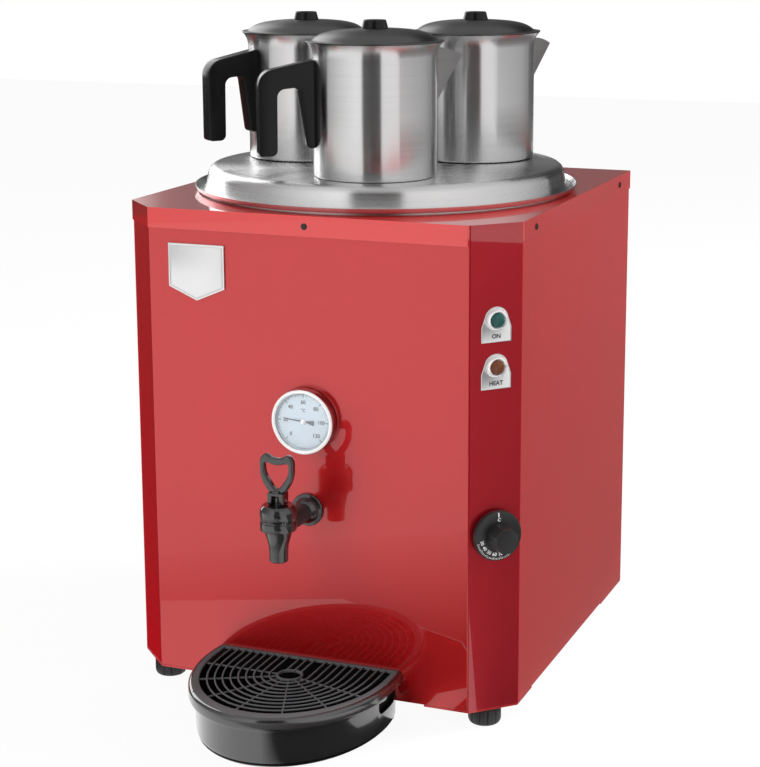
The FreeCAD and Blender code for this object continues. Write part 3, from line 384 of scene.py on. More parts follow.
def spun(name, level, roughness, x, y, change=0.12, spread=0.7):
    # Steel turned on a lathe: fine rings round the middle of a lid.
    paint = Paint(name)
    flat = paint.node("Mapping", {}, {"Vector": paint.place, "Scale": (1, 1, 0),
                                                "Location": (-x * mm, -y * mm, 0)}, "Vector")
    radius = paint.node("VectorMath", {"operation": "LENGTH"}, {0: flat}, "Value")
    rings = paint.node("TexNoise", {"noise_dimensions": "1D"},
                       {"W": radius, "Scale": 900.0, "Detail": 3.0}, "Fac")
    paint.set(Base_Color=paint.blend(rings, shade(level * (1 - change)), shade(min(1, level * (1 + change)))),
              Metallic=1.0, Roughness=roughness * 0.8 + rings * (0.4 * roughness), Anisotropic=spread,
              Anisotropic_Rotation=0.25)
    paint.bump(rings, 0.03, 0.02 * mm)
    return paint.material


# One red paint in lit and shaded copies: the side colour, on the side panels and top cover, is a lighter red
# of painted light, and the strip colour is a darker red of painted shade on the corner strip.
redPaintLook = {"front": (0.54, 0.006, 0.008, 1), "side": (0.7, 0.008, 0.007, 1),
                "strip": (0.42, 0.006, 0.015, 1), "roughness": 0.32, "metallic": 0.64, "coatIor": 1.65,
                "coverIor": 1.9}


def redEnamel(name, colour, coatIor=redPaintLook["coatIor"]):
    paint = Paint(name)
    cloud = paint.noise(7, 2)
    paint.set(Base_Color=paint.blend(cloud, scaled(colour, 0.94), scaled(colour, 1.06)),
              Metallic=redPaintLook["metallic"], Roughness=redPaintLook["roughness"] - 0.03 + cloud * 0.06,
              Coat_Weight=1.0, Coat_Roughness=0.015, Coat_IOR=coatIor)
    paint.bump(paint.noise(350, 2), 0.03, 0.15 * mm)
    return paint.material


def clearGlass(name, tint, roughness=0.02):
    # A pane that stays clear in the exported model: mostly see-through, with a gloss.
    paint = Paint(name)
    cloud = paint.noise(30, 1)
    paint.set(Base_Color=tint, Roughness=roughness + cloud * 0.01, Alpha=0.10 + cloud * 0.02)
    return paint.material


def lensPlastic(name, colour):
    # Tinted lamp lens: painted shade darkens each facet from its lighter middle towards its edges.
    paint = Paint(name)
    cells = paint.node("TexVoronoi", {"feature": "F1"}, {"Vector": paint.place, "Scale": 700.0},
                       "Distance")
    paint.set(Base_Color=paint.blend(cells, colour, scaled(colour, 0.45)), Roughness=0.3 + cells * 0.1,
              Coat_Weight=0.1, Emission_Color=colour, Emission_Strength=0.05)
    paint.bump(cells, 0.25, 0.3 * mm)
    return paint.material


print("helpers ready")

red = redEnamel("red_enamel", redPaintLook["front"])
litSideRed = redEnamel("side_enamel_painted_light", redPaintLook["side"])
shadedStripRed = redEnamel("strip_enamel_painted_shade", redPaintLook["strip"])
litCoverRed = redEnamel("cover_enamel_painted_light", redPaintLook["side"], redPaintLook["coverIor"])
potSteel = brushed("pot_steel", 0.72, 0.24, (6, 6, 1400), relief=0.05, change=0.1, spread=1.0)
lidSteel = spun("lid_steel", 0.8, 0.26, middleX, tankY, change=0.03, spread=1.0)
tankSteel = brushed("tank_steel", 0.62, 0.3, (20, 20, 900), relief=0.08)
screwSteel = brushed("screw_steel", 0.07, 0.35, (300, 300, 300), relief=0.05)
badgeSteel = brushed("badge_steel", 0.86, 0.3, (1500, 12, 12), relief=0.05, change=0.05)
elementSteel = brushed("element_steel", 0.34, 0.45, (200, 200, 200), tint=(1, 0.86, 0.72), change=0.3)
springSteel = brushed("spring_steel", 0.6, 0.25, (500, 500, 500))
galvanised = brushed("galvanised", 0.55, 0.42, (40, 40, 40), change=0.22, relief=0.04)
copper = brushed("capillary_copper", 0.75, 0.3, (300, 300, 300), tint=(1, 0.6, 0.42))
caseSteel = brushed("case_steel", 0.55, 0.16, (60, 60, 60), relief=0.02, change=0.04)
bezelSteel = brushed("bezel_steel", 0.92, 0.3, (60, 60, 60), relief=0.02, change=0.04, metal=0.22)
chrome = brushed("lamp_chrome", 0.88, 0.24, (100, 100, 100), relief=0.02, change=0.05, metal=0.6)
phenolic = gloss("handle_phenolic", shade(0.007), 0.22, relief=0.03, Specular_IOR_Level=0.22)
tapArmPaintedReflection = gloss("tap_arm_painted_reflection", (0.034, 0.034, 0.035, 1), 0.4, relief=0.03, Specular_IOR_Level=0.25)
tapBlack = gloss("tap_black", shade(0.01), 0.2, relief=0.03, Coat_Weight=1.0, Coat_IOR=1.6,
                 Coat_Roughness=0.06)
trayBlack = gloss("tray_black", shade(0.012), 0.25, relief=0.03, Coat_Weight=1.0, Coat_IOR=1.8,
                  Coat_Roughness=0.1)
trayInsideShade = gloss("tray_inside_painted_shade", shade(0.005), 0.7, relief=0.05, Specular_IOR_Level=0.05)
grateBlack = gloss("grate_black", (0.105, 0.108, 0.112, 1), 0.6, relief=0.05, Specular_IOR_Level=0.08)
knobBlack = gloss("knob_black", shade(0.011), 0.38)
nylonBlack = gloss("black_nylon", shade(0.02), 0.45, relief=0.08)
rubber = gloss("foot_rubber", shade(0.012), 0.5, relief=0.12)
sealRubber = gloss("seal_rubber", (0.25, 0.09, 0.06, 1), 0.6, relief=0.1)
terminalWhite = gloss("terminal_plastic", (0.8, 0.78, 0.72, 1), 0.5)
whiteInk = gloss("white_ink", shade(0.8), 0.5, change=0.02)
greyInk = gloss("grey_ink", (0.03, 0.035, 0.045, 1), 0.5, change=0.02)
dialWhite = gloss("dial_face", (0.62, 0.71, 0.78, 1), 0.45, change=0.03)
needleGrey = gloss("needle_grey", (0.08, 0.08, 0.09, 1), 0.4)
wool = gloss("mineral_wool", (0.62, 0.56, 0.38, 1), 0.9, change=0.12, grain=160, relief=0.6)
glassPane = clearGlass("gauge_pane", (0.9, 0.95, 1, 1))
greenLens = lensPlastic("green_lens", (0.003, 0.085, 0.075, 1))
amberLens = lensPlastic("amber_lens", (0.15, 0.034, 0.003, 1))
print("materials ready")


# How pieces join the frame
def mount(piece, body, slotName, material, *replaced):
    piece.data.materials.clear()
    piece.data.materials.append(material)
    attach(piece, body)
    if replaced:
        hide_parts(*replaced)
    return piece


def inlay(piece, material, test):
    # Gives the faces that pass the test a second material.
    piece.data.materials.append(material)
    for face in piece.data.polygons:
        if test(face):
            face.material_index = 1


def dress(material, *names):
    for name in names:
        nodes[name].data.materials.clear()
        nodes[name].data.materials.append(material)


def eased(node, width, material, slotName):
    # A copy of a sheet-metal piece with its edges rounded, so that they catch the light.
    piece = copyOf(nodes[node], node + "_sheet")
    enter(piece)
    bpy.ops.mesh.remove_doubles(threshold=0.002 * mm)
    bpy.ops.mesh.dissolve_limited(angle_limit=math.radians(0.5))
    leave()
    bevel(piece, width, 2, 25)
    flatten(smooth(piece, 60))
    mount(piece, "cabinet", slotName, material, node)


# Cabinet
sheets = {"front_panel": red, "left_side_panel": litSideRed, "right_side_panel": litSideRed,
          "control_panel": shadedStripRed, "rear_panel": red, "top_cover": litCoverRed, "corner_plates": red}
for node, enamel in sheets.items():
    eased(node, 0.35, enamel, "red_paint")
dress(galvanised, "base_plate", "tank_stand")
dress(screwSteel, "foot_lock_nuts")
dress(tankSteel, "tank_shell", "heater_flange", "drain_pipe")
dress(wool, "tank_insulation")
dress(elementSteel, "heating_element")
dress(nylonBlack, "thermostat_body")
dress(terminalWhite, "terminal_block")
dress(tapBlack, "tap_plunger", "tap_lock_nut")
dress(sealRubber, "tap_seal")
dress(springSteel, "tap_pivot_pin", "thermostat_shaft")
dress(copper, "thermostat_bulb")
print("cabinet done")


# Round lid
def steamLid():
    # From the middle of the underside out to the rolled rim, and back over the top.
    piece = lathe("steam_lid_dish", [
        (30, 508.5), (170.7, 508.5), (174.8, 507.8), (177.7, 505.5), (179.4, 501.8), (181.4, 490.5),
        (185.4, 485.5), (190.6, 485.5), (192, 486.7), (194, 490.5), (192.8, 490.5), (191, 487.3),
        (190, 486.5), (186, 486.5), (182.4, 491), (180.4, 502), (178.6, 506.1), (175.4, 508.7),
        (171, 509.5), (0, 509.5)], 128)
    put(piece, middleX, tankY)
    mount(piece, "steam_lid", "lid_steel", lidSteel, "steam_lid")


steamLid()
print("round lid done")

# Teapots
potLook = {"circle": 101, "base": 509.8, "sides": 96, "radius": 60.3, "spoutHalf": 17,
           "spoutReach": 85.9, "handleHalf": 9}
potTurns = {"front": (-74, 213), "right": (46, 224), "left": (166, 230)}


def potBody():
    piece = lathe("pot_body", [
        (57.6, 0), (59.3, 0.6), (60.3, 2.4), (60.3, 60), (60.3, 115), (60.6, 118), (61.5, 121.5),
        (63, 124.6), (64.8, 127), (65.6, 127.7), (66, 128), (65.2, 128), (62.4, 124.6), (60.9, 121.5),
        (60, 118), (59.5, 115), (59.5, 3), (57.6, 0.9)], potLook["sides"])
    # The spout is a folded sheet from a narrow foot low on the wall to a wide rim with its tip in the middle.
    half = potLook["spoutHalf"]
    root = -math.sqrt(potLook["radius"] ** 2 - half ** 2) - 0.2

    def beak(u, v):
        side = 2 * u - 1
        nose = (1 - abs(side)) ** 0.8
        rim = Vector((root - (potLook["spoutReach"] + root) * nose, half * side, 121.4 - 7.4 * nose ** 2))
        foot = Vector((root - 2.6, 1.2 * side, 70.5))
        return foot.lerp(rim, v)

    spout = grid("pot_spout", 25, 9, beak)
    modify(spout, "SOLIDIFY", thickness=0.8 * mm, offset=0)
    smooth(spout, 40)
    return smooth(join([piece, spout], "pot_body"))


def potHandle():
    # A strip of quads in side view, given its width and then rounded corner by corner.
    clearSelection()
    bpy.ops.mesh.primitive_plane_add(size=1)
    piece = named("pot_handle")
    for point, (x, z) in zip(piece.data.vertices, ((59.5, 28.5), (67.8, 28.5), (59.5, 86.5), (75.3, 86.5))):
        point.co = (x * mm, -potLook["handleHalf"] * mm, z * mm)
    enter(piece)

    def stretch(test, targets):
        pick(piece, "EDGE", test)
        bpy.ops.mesh.extrude_edges_indiv()
        mesh = bmesh.from_edit_mesh(piece.data)
        moved = [point for point in mesh.verts if point.select]
        moved.sort(key=lambda point: (point.co.x, point.co.z))
        for point, (x, z) in zip(moved, targets):
            point.co = (x * mm, -potLook["handleHalf"] * mm, z * mm)
        bmesh.update_edit_mesh(piece.data)

    def atHeight(z):
        return lambda edge: all(abs(point.co.z - z * mm) < 0.01 * mm for point in edge.verts)

    def atReach(x):
        return lambda edge: all(abs(point.co.x - x * mm) < 0.01 * mm for point in edge.verts)

    stretch(atHeight(86.5), ((59.5, 112.4), (75.3, 109.1)))
    stretch(atReach(75.3), ((95.5, 84.5), (95.5, 104.8)))
    stretch(atReach(95.5), ((114, 84.5), (114, 101)))
    stretch(atHeight(84.5), ((96, 21.5), (114, 21.5)))
    pick(piece, "FACE", lambda face: True)
    bpy.ops.mesh.normals_make_consistent()
    drawOut(y=2 * potLook["handleHalf"])
    selectAll()
    bpy.ops.mesh.normals_make_consistent()

    def across(x, z):
        return lambda edge: all(math.hypot(point.co.x - x * mm, point.co.z - z * mm) < 0.01 * mm
                                for point in edge.verts)

    for x, z, radius in ((114, 101, 13), (95.5, 84.5, 7), (75.3, 86.5, 5), (114, 21.5, 3.5), (96, 21.5, 6),
                         (67.8, 28.5, 4)):
        pick(piece, "EDGE", across(x, z))
        bpy.ops.mesh.bevel(offset=radius * mm, segments=6, affect="EDGES", clamp_overlap=False)
    leave()
    tidyNormals(piece)
    bevel(piece, 4.2, 5, 50)
    return smooth(piece, 40)


def potLid():
    return lathe("pot_lid_dome", [
        (3, 139.5), (30, 138.6), (44.6, 136.5), (53, 133.4), (58.2, 128.8), (58.4, 122.4), (59.2, 122.4),
        (59.2, 128.2), (66, 128.3), (66.4, 128.7), (66.2, 129.3), (63.5, 129.4), (61.2, 129.7),
        (59.8, 130.4), (57.6, 132.2), (54, 134.5), (50, 136.2), (45, 137.6), (38, 138.8), (30, 139.6),
        (20, 140.1), (12, 140.4), (0, 140.5)], potLook["sides"])


def potKnob():
    return lathe("pot_lid_knob", [
        (12.4, 140.3), (12.8, 140.6), (12.8, 141.1), (12.4, 142.2), (11.3, 146.6), (11.1, 147.4),
        (10.8, 148.1), (10.2, 148.5), (9.4, 148.4), (8.4, 147.9), (0, 147.7)], 48)


potShapes = (potBody(), potHandle(), potLid(), potKnob())
for side, (round_, turned) in potTurns.items():
    x, y = atAngle(potLook["circle"], round_)
    x, y = x + middleX, y + tankY
    # The pot lids get a dark copy of the pot steel: painted shade in place of the dark reflection above them.
    domeSteelPaintedShade = spun(side + "_lid_steel", 0.13, 0.36, x, y)
    potParts = (("vessel", "pot_steel", potSteel, "_pot", "_pot"),
                ("grip", "handle_phenolic", phenolic, "_pot", "_pot_handle"),
                ("dome", "pot_lid_steel", domeSteelPaintedShade, "_pot_lid", "_pot_lid"),
                ("button", "handle_phenolic", phenolic, "_pot_lid", "_pot_knob"))
    for shape, (word, slotName, material, body, node) in zip(potShapes, potParts):
        piece = copyOf(shape, "%s_pot_%s" % (side, word))
        put(piece, x, y, potLook["base"], (0, 0, turned))
        mount(piece, side + body, slotName, material, side + node)
for shape in potShapes:
    bpy.data.objects.remove(shape)
print("teapots done")


# Thermometer
gaugeLook = {"z": 289.5, "numbers": 18.4, "tickOut": 26.2, "tickIn": 23, "size": 5.2}


def onGauge(piece):
    return put(piece, middleX, frontY, gaugeLook["z"], toFront)


def thermometer():
    bezel = lathe("gauge_rim", [
        (30.05, 1.5), (31, 1.5), (31.4, 2.2), (31.5, 3.2), (31.5, 10.4), (31.2, 11.6), (30.5, 12.5),
        (29.6, 12.8), (28.8, 12.7), (28.1, 12.2), (27.6, 11.6), (30.05, 11.6), (30.05, 1.5)], 96)
    mount(onGauge(bezel), "cabinet", "gauge_metal", bezelSteel, "gauge_bezel")
    inlay(bezel, caseSteel, lambda face: face.normal.y > -0.35)
    dress(caseSteel, "gauge_case")
    dress(glassPane, "gauge_glass")
    face = lathe("gauge_face", [(28.9, 7), (28.9, 7.6), (27.6, 7.7), (0, 7.7)], 96)
    mount(onGauge(face), "cabinet", "dial_face", dialWhite, "gauge_dial")
    marks = []
    for degree in range(0, 121, 4):
        angle = 225 - degree / 20 * 45
        main = degree % 20 == 0
        inner = gaugeLook["tickIn"] if main else gaugeLook["tickIn"] + 1.7
        half = 0.38 if main else 0.18
        tick = box("tick", (inner, -half, 7.7), (gaugeLook["tickOut"], half, 7.78))
        marks.append(put(tick, turn=(0, 0, angle)))
        if main:
            x, y = atAngle(gaugeLook["numbers"], angle)
            marks.append(letters("number", str(degree), gaugeLook["size"], x, y, 7.75))
    marks.append(letters("unit", "°C", 4.2, 0, 10.5, 7.75))
    arc = lathe("arc", [(26.2, 7.7), (26.45, 7.7), (26.45, 7.78), (26.2, 7.78), (26.2, 7.7)], 96)
    marks.append(arc)
    piece = join(marks, "gauge_marks")
    mount(onGauge(piece), "cabinet", "dial_face", greyInk)
    half = [(-11, 2.6), (-4, 0.9), (0, 0.8), (18, 0.45)]
    needle = plate("gauge_needle", [(x, -y) for x, y in half] + [(21, 0)] + half[::-1], 8.2, 8.7)
    bevel(needle, 0.12, 1)
    needle = smooth(needle)
    put(needle, turn=(0, 0, 175.5))
    hub = lathe("needle_hub", [(2.6, 8.0), (2.6, 9), (2.2, 9.3), (1, 9.35), (0.9, 9.1), (0, 9.1)], 32)
    mount(onGauge(needle), "gauge_pointer", "needle_metal", needleGrey, "gauge_pointer")
    mount(onGauge(hub), "gauge_pointer", "gauge_metal", bezelSteel)


thermometer()
print("thermometer done")


def flutes(piece, count, depth, low, high, sharp=4):
    # Presses even grooves into a turned piece between two heights.
    for point in piece.data.vertices:
        x, y, z = (part / mm for part in point.co)
        if low < z < high:
            radius = math.hypot(x, y)
            press = depth * max(0, math.cos(count * math.atan2(y, x))) ** sharp
            point.co.x *= (radius - press) / radius
            point.co.y *= (radius - press) / radius


def tap():
    barrel = lathe("tap_barrel", [
        (6.2, 170.8), (8.2, 170.8), (8.8, 171.4), (8.9, 174), (9, 181), (9.4, 186), (10.6, 191), (12, 196),
        (13.3, 200), (13.6, 201.3), (16.2, 201.4), (17, 201.9), (17.2, 202.7), (17.2, 208.7), (17, 209.4),
        (16.3, 209.8), (16.3, 211), (8.5, 211), (8.5, 184.5), (6.2, 184.5)], 96)
    put(barrel, middleX, tapY)
    arm = lathe("tap_arm", [
        (8, -40), (8, 0), (15.4, 0.05), (16, 0.6), (16, 2.2), (15.4, 3), (13.6, 3.3), (12.6, 3.5),
        (12.5, 5.4), (11.8, 7.6), (10.2, 9.8), (9, 11.4), (8.7, 14), (8.7, 40), (9, 56)], 64)
    put(arm, middleX, frontY, 201, toFront)
    barrel = combine(barrel, arm, "UNION")
    smooth(barrel, 30)
    mount(barrel, "cabinet", "tap_plastic", tapBlack, "tap_body")
    # The arm gets a duller, lighter grey copy of the tap plastic: the low gloss keeps it from turning red
    # with the panel beside it, and the lighter grey is a painted reflection.
    inlay(barrel, tapArmPaintedReflection, lambda face: tapY + 15 < face.center.y / mm < frontY - 12
          and abs(face.center.x / mm - middleX) < 12)
    cap = lathe("tap_collar", [
        (8.5, 211.05), (16.4, 211.05), (16.5, 211.2), (16.5, 213), (17, 213.3), (17.2, 213.9),
        (17.2, 220.2), (16.9, 221.1), (14.6, 224.6), (14, 225.2), (3.7, 225.2), (3.7, 221.5), (8.5, 221.5),
        (8.5, 211.05)], 120)
    flutes(cap, 40, 0.9, 211.02, 213.1, 2)
    put(cap, middleX, tapY)
    mount(smooth(cap, 30), "cabinet", "tap_plastic", tapBlack, "tap_cap")


def tapSpring():
    # The hidden coil: a copy of the frame's spring with a mesh of its own.
    coil = copyOf(nodes["tap_spring"], "tap_spring_coil")
    mount(coil, "cabinet", "spring_steel", springSteel, "tap_spring")
    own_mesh(coil)


def leverRing():
    # A heart-like ring of two spline outlines with rounded edges.
    clearSelection()
    bpy.ops.curve.primitive_bezier_circle_add(radius=mm)
    ring = bpy.context.object
    ring.data.dimensions = "2D"
    ring.data.fill_mode = "BOTH"
    ring.data.extrude = 1.7 * mm
    ring.data.bevel_depth = 1.5 * mm
    ring.data.offset = -1.2 * mm
    ring.data.bevel_resolution = 2
    ring.data.resolution_u = 8
    outer = [(0, 235.9), (6.2, 236.8), (11.6, 243), (15.9, 252.5), (16.6, 260), (15.9, 268.3), (11.3, 273),
             (5.4, 270.4), (0, 269.6)]
    inner = [(0, 240.2), (2.6, 241.4), (6.6, 246.6), (11.3, 254.2), (12.3, 260), (11.9, 264.4), (8.6, 265.2),
             (4.5, 264.1), (0, 263.5)]
    ring.data.splines.clear()
    for half in (outer, inner):
        points = half + [(-x, z) for x, z in reversed(half[1:-1])]
        spline = ring.data.splines.new("BEZIER")
        spline.bezier_points.add(len(points) - 1)
        for knot, (x, z) in zip(spline.bezier_points, points):
            knot.co = (x * mm, z * mm, 0)
            knot.handle_left_type = knot.handle_right_type = "AUTO"
        spline.use_cyclic_u = True
    bpy.ops.object.convert(target="MESH")
    ring = named("lever_ring")
    tidyNormals(ring, 0.01)
    return put(ring, turn=toFront)


def lever():
    block = box("lever_block", (-8, -6.4, 225.6), (8, 6.4, 237.2))
    enter(block)
    pick(block, "EDGE", lambda edge: all(point.co.z < 226 * mm for point in edge.verts)
         and abs(edge.verts[0].co.y - edge.verts[1].co.y) < 0.1 * mm)
    bpy.ops.mesh.bevel(offset=2.2 * mm, segments=3, affect="EDGES")
    leave()
    slot = box("slot", (-3.75, -9, 224), (3.75, 9, 234.4))
    block = combine(block, slot)
    bevel(block, 0.7, 3, 50)
    tab = box("tab", (-3.4, -5.6, 236.6), (3.4, 4.5, 239))
    bevel(tab, 0.9, 3)
    block = combine(block, tab, "UNION")
    block = combine(block, leverRing(), "UNION")
    block.name = "tap_lever_ring"
    put(block, middleX, tapY)
    smooth(block, 35)
    mount(block, "tap_lever", "tap_plastic", tapBlack, "tap_lever")


tap()
tapSpring()
lever()
print("tap done")


# Signal lamps, badge and thermostat knob
def onCorner(piece, z=0.0):
    return put(piece, middleX + halfWidth - corner, frontY + corner, z, toCorner)


lampLook = {"heights": {"ON": 395.8, "HEAT": 351.9}, "halfPlate": 15.25, "foot": 20.8, "shoulder": 6.8,
            "arch": 12.25, "wordDown": 15.4, "wordSize": 5.6}


def lamps():
    plates = []
    for word, level in lampLook["heights"].items():
        half, foot, shoulder = lampLook["halfPlate"], level - lampLook["foot"], level - lampLook["shoulder"]
        arch = [atAngle(lampLook["arch"], angle) for angle in range(30, 151, 10)]
        head = [(x, level + y) for x, y in arch]
        corners = [(-half, foot), (half, foot), (half, shoulder)] + head + [(-half, shoulder)]
        piece = plate("lamp_plate", corners, 0.05, 0.8)
        enter(piece)
        pick(piece, "FACE", isTop)
        inset((0.9, 0), (0.25, -0.3))
        leave()
        bevel(piece, 0.2, 2)
        plates.append(smooth(piece))
        ink = letters("lamp_%s_word" % word.lower(), word, lampLook["wordSize"], 0,
                      level - lampLook["wordDown"], 0.56, weight=0.2)
        mount(onCorner(ink), "cabinet", "lamp_plate_metal", greyInk)
        housing = lathe("lamp_rim_%s" % word.lower(), [
            (6.9, -20), (6.9, 0.6), (10, 0.6), (10.25, 1), (10.2, 2), (9.6, 3.4), (8.9, 4.3), (8.2, 4.4),
            (7.4, 3.9), (6.8, 3), (6.8, 1.5), (6, 1.5)], 64)
        put(housing, 0, level, 0)
        housing = onCorner(housing)
        mount(housing, "cabinet", "lamp_bezel", chrome, *(("lamp_housings",) if word == "ON" else ()))
        name, material = ("green_lens", greenLens) if word == "ON" else ("amber_lens", amberLens)
        lens = lathe(name + "_dome", [
            (6.7, 1.6), (6.7, 3.4), (6.3, 4.4), (5.3, 5.3), (3.6, 5.9), (1.8, 6.15), (0, 6.2)], 48)
        put(lens, 0, level, 0)
        mount(onCorner(lens), "cabinet", name.replace("lens", "plastic"), material, name)
    piece = join(plates, "lamp_plate_pair")
    mount(onCorner(piece), "cabinet", "lamp_plate_metal", badgeSteel, "lamp_plates")


def badge():
    shield = [(-142, 451), (-142, 409), (-112.5, 396.5), (-83, 409), (-83, 451)]
    piece = plate("badge_shield", shield, 0.05, 1.8)
    enter(piece)
    pick(piece, "FACE", isTop)
    inset((1.5, 0), (0.2, -1), (0.7, 0), (0.2, 0.7))
    leave()
    bevel(piece, 0.15, 2)
    smooth(piece)
    put(piece, middleX, frontY, 0, toFront)
    mount(piece, "cabinet", "badge_metal", badgeSteel, "badge_plate")


knobLook = {"z": 192.5, "face": 8.5, "flats": 24.5, "gripTop": 27, "firstNumber": 195, "numberStep": 20.5,
            "numbers": 17.6, "size": 4.6}


def knob():
    disc = lathe("knob_disc", [
        (3, 3), (23, 3), (23.8, 3.5), (24, 4.2), (24, 7.3), (23.7, 8.1), (23, 8.5), (3, 8.5),
        (3, 3)], 96)
    reach = knobLook["flats"] / 2 / math.cos(math.radians(22.5))
    corners = [atAngle(reach, 22.5 + 45 * side) for side in range(8)]
    grip = plate("knob_grip", corners, 8, knobLook["gripTop"])
    enter(grip)
    pick(grip, "FACE", isTop)
    widen(0.94, 0.94, knobLook["gripTop"])
    inset((1.4, 0), (0.6, -0.5))
    leave()
    bevel(grip, 0.5, 3, 30)
    disc = combine(disc, grip, "UNION")
    disc.name = "knob_body"
    smooth(disc, 32)
    mount(onCorner(disc, knobLook["z"]), "thermostat_knob", "knob_plastic", knobBlack, "thermostat_knob")
    face, ink, size = knobLook["face"], knobLook["face"] + 0.05, knobLook["size"]
    marks = [box("index", (-0.55, 18.4, face), (0.55, 22.6, face + 0.1)),
             letters("unit", "C", size, 0.6, 15.6, ink)]
    for index, number in enumerate(range(30, 100, 10)):
        angle = knobLook["firstNumber"] + index * knobLook["numberStep"]
        x, y = atAngle(knobLook["numbers"], angle)
        marks.append(letters("temperature", str(number), size, x, y, ink, angle + 90, 0.05))
    for index in range(31):
        tick = box("tick", (21 if index % 5 else 20.2, -0.2, face), (22.7, 0.2, face + 0.1))
        marks.append(put(tick, turn=(0, 0, knobLook["firstNumber"] + index * knobLook["numberStep"] / 5)))
    piece = join(marks, "knob_marks")
    mount(onCorner(piece, knobLook["z"]), "thermostat_knob", "knob_plastic", whiteInk)


lamps()
badge()
knob()
print("controls done")


# Feet, screws and rear fittings
def feet():
    shape = lathe("foot_shape", [
        (13.4, 0), (14.6, 1), (15.4, 2.6), (15.8, 4.6), (15.8, 14.4), (15.2, 16.2), (13.8, 17.6), (13, 17.7),
        (5, 17.7), (5, 34), (4.4, 34)], 96)
    flutes(shape, 12, 1.3, 2, 16.6)
    smooth(shape)
    for side, x in (("left", -169), ("right", 169)):
        for end, y in (("front", frontY + 30.3), ("rear", rearY - 30.3)):
            name = "foot_%s_%s" % (end, side)
            piece = put(copyOf(shape, name + "_glide"), middleX + x, y)
            mount(piece, name, "foot_rubber", rubber, name)
    bpy.data.objects.remove(shape)


def screws():
    head = lathe("screw_head", [
        (1.9, -7), (1.9, 0), (3, 0), (3.1, 0.3), (2.7, 0.9), (1.8, 1.25), (0, 1.3)], 32)
    for reach in ((1.7, 0.35), (0.35, 1.7)):
        cutter = box("cutter", (-reach[0], -reach[1], 0.7), (reach[0], reach[1], 2))
        head = combine(head, cutter)
    smooth(head)
    copies = []
    places = [(0, frontY - 1, screwZ, toFront), (0, rearY + 1, screwZ, toRear)]
    places += [(side * (halfWidth - 8), rearY, height, toRear)
               for side in (-1, 1) for height in (40, 250, 455)]
    places += [(side * (halfWidth + 1), frontY + along, screwZ, (90, 0, side * 90))
               for side in (-1, 1) for along in (75, 369)]
    for x, y, z, turn in places:
        copies.append(put(copyOf(head, "screw"), middleX + x, y, z, turn))
    piece = join(copies, "panel_screw_set")
    mount(piece, "cabinet", "screw_steel", screwSteel, "panel_screws")
    bpy.data.objects.remove(head)


def rearFittings():
    cap = lathe("drain_cap_cup", [
        (8.06, 2), (11.4, 2), (12, 2.6), (12, 14.4), (11.4, 15.6), (10.4, 16), (0, 16)], 96)
    flutes(cap, 16, 0.8, 2.4, 15)
    put(cap, middleX, rearY, 100, toRear)
    mount(smooth(cap), "cabinet", "black_nylon", nylonBlack, "drain_cap")
    gland = lathe("gland_body", [
        (4.5, -14), (8, -14), (8, 0), (9.5, 0), (9.5, 6), (9, 11), (8.2, 13.4), (6.8, 15), (4.5, 15),
        (4.5, -14)], 64)
    nut = plate("gland_nut", [atAngle(12.7, angle) for angle in range(0, 360, 60)], 0, 5)
    bore = lathe("bore", [(8.4, -1), (8.4, 6)], 64)
    nut = combine(nut, bore)
    bevel(nut, 0.5, 2)
    piece = join([gland, smooth(nut)], "gland_body")
    put(piece, middleX - 120, rearY, 70, toRear)
    mount(smooth(piece), "cabinet", "black_nylon", nylonBlack, "cable_gland")


feet()
screws()
rearFittings()
print("feet and fittings done")

# Drip tray
trayLook = {"sides": 160, "wide": 98.5, "reach": 128, "centre": frontY - 27, "back": frontY - 0.3,
            "pocket": 87.2}


def halfOval(name, stations, back):
    # A turned oval bowl or plug, cut off straight at the back.
    def plan(inset):
        return trayLook["wide"] - inset, trayLook["reach"] - inset

    piece = lathe(name, stations, trayLook["sides"], plan=plan)
    put(piece, 0, trayLook["centre"])
    enter(piece)
    bpy.ops.mesh.bisect(plane_co=(0, back * mm, 0), plane_no=(0, 1, 0), clear_outer=True, use_fill=True)
    leave()
    tidyNormals(piece)
    return piece


def dripTray():
    back = trayLook["back"]
    shell = halfOval("tray_bowl", [
        (13, 0.6), (10.4, 1.1), (8.6, 2.8), (7.6, 5.4), (7, 9), (6.2, 35), (5.6, 37.2), (4.2, 38.4),
        (2, 38.8), (0.6, 39.4), (0.05, 40.6), (0, 42), (0, 47.4), (0.4, 49.2), (1.2, 50.5), (2.2, 51.2),
        (3, 51.5)], back)
    hollow = halfOval("hollow", [(9.5, 2.6), (9, 3.2), (9, 52)], back - 2)
    deck = halfOval("deck", [(3, 48.5), (3, 52)], back - 2)
    shell = combine(combine(shell, hollow), deck)
    mouth = box("mouth", (-110, back - 46, 22.5), (110, back - 4, 42.5))
    bevel(mouth, 8, 6)
    shell = combine(shell, mouth)
    for side in (-1, 1):
        x = side * trayLook["pocket"]
        wall = box("pocket", (x - 0.6, back - 49, 2), (x + 0.6, back - 1, 48.6))
        shell = combine(shell, wall, "UNION")
    put(shell, middleX)
    smooth(shell, 30)
    mount(shell, "drip_tray", "tray_plastic", trayBlack, "drip_tray")

    def inside(face):
        x, y, z = (part / mm for part in face.center)
        along = (y - trayLook["centre"]) / (trayLook["reach"] - 8)
        out = math.hypot((x - middleX) / (trayLook["wide"] - 8), along)
        return z < 48.4 and out < 1 and y < back - 1 and (face.normal.z > 0.5 or z > 2)

    # The inside of the bowl, under the grate, gets a darker, matte copy of the tray plastic: painted shade in
    # the recess.
    inlay(shell, trayInsideShade, inside)


grateLook = {"bars": 10, "bar": 1.7, "ring": 12, "ringY": frontY - 47, "fieldY": frontY - 28, "slotWide": 89,
             "slotReach": 112.6, "low": 48.9, "barLow": 50.1, "top": 51.5}


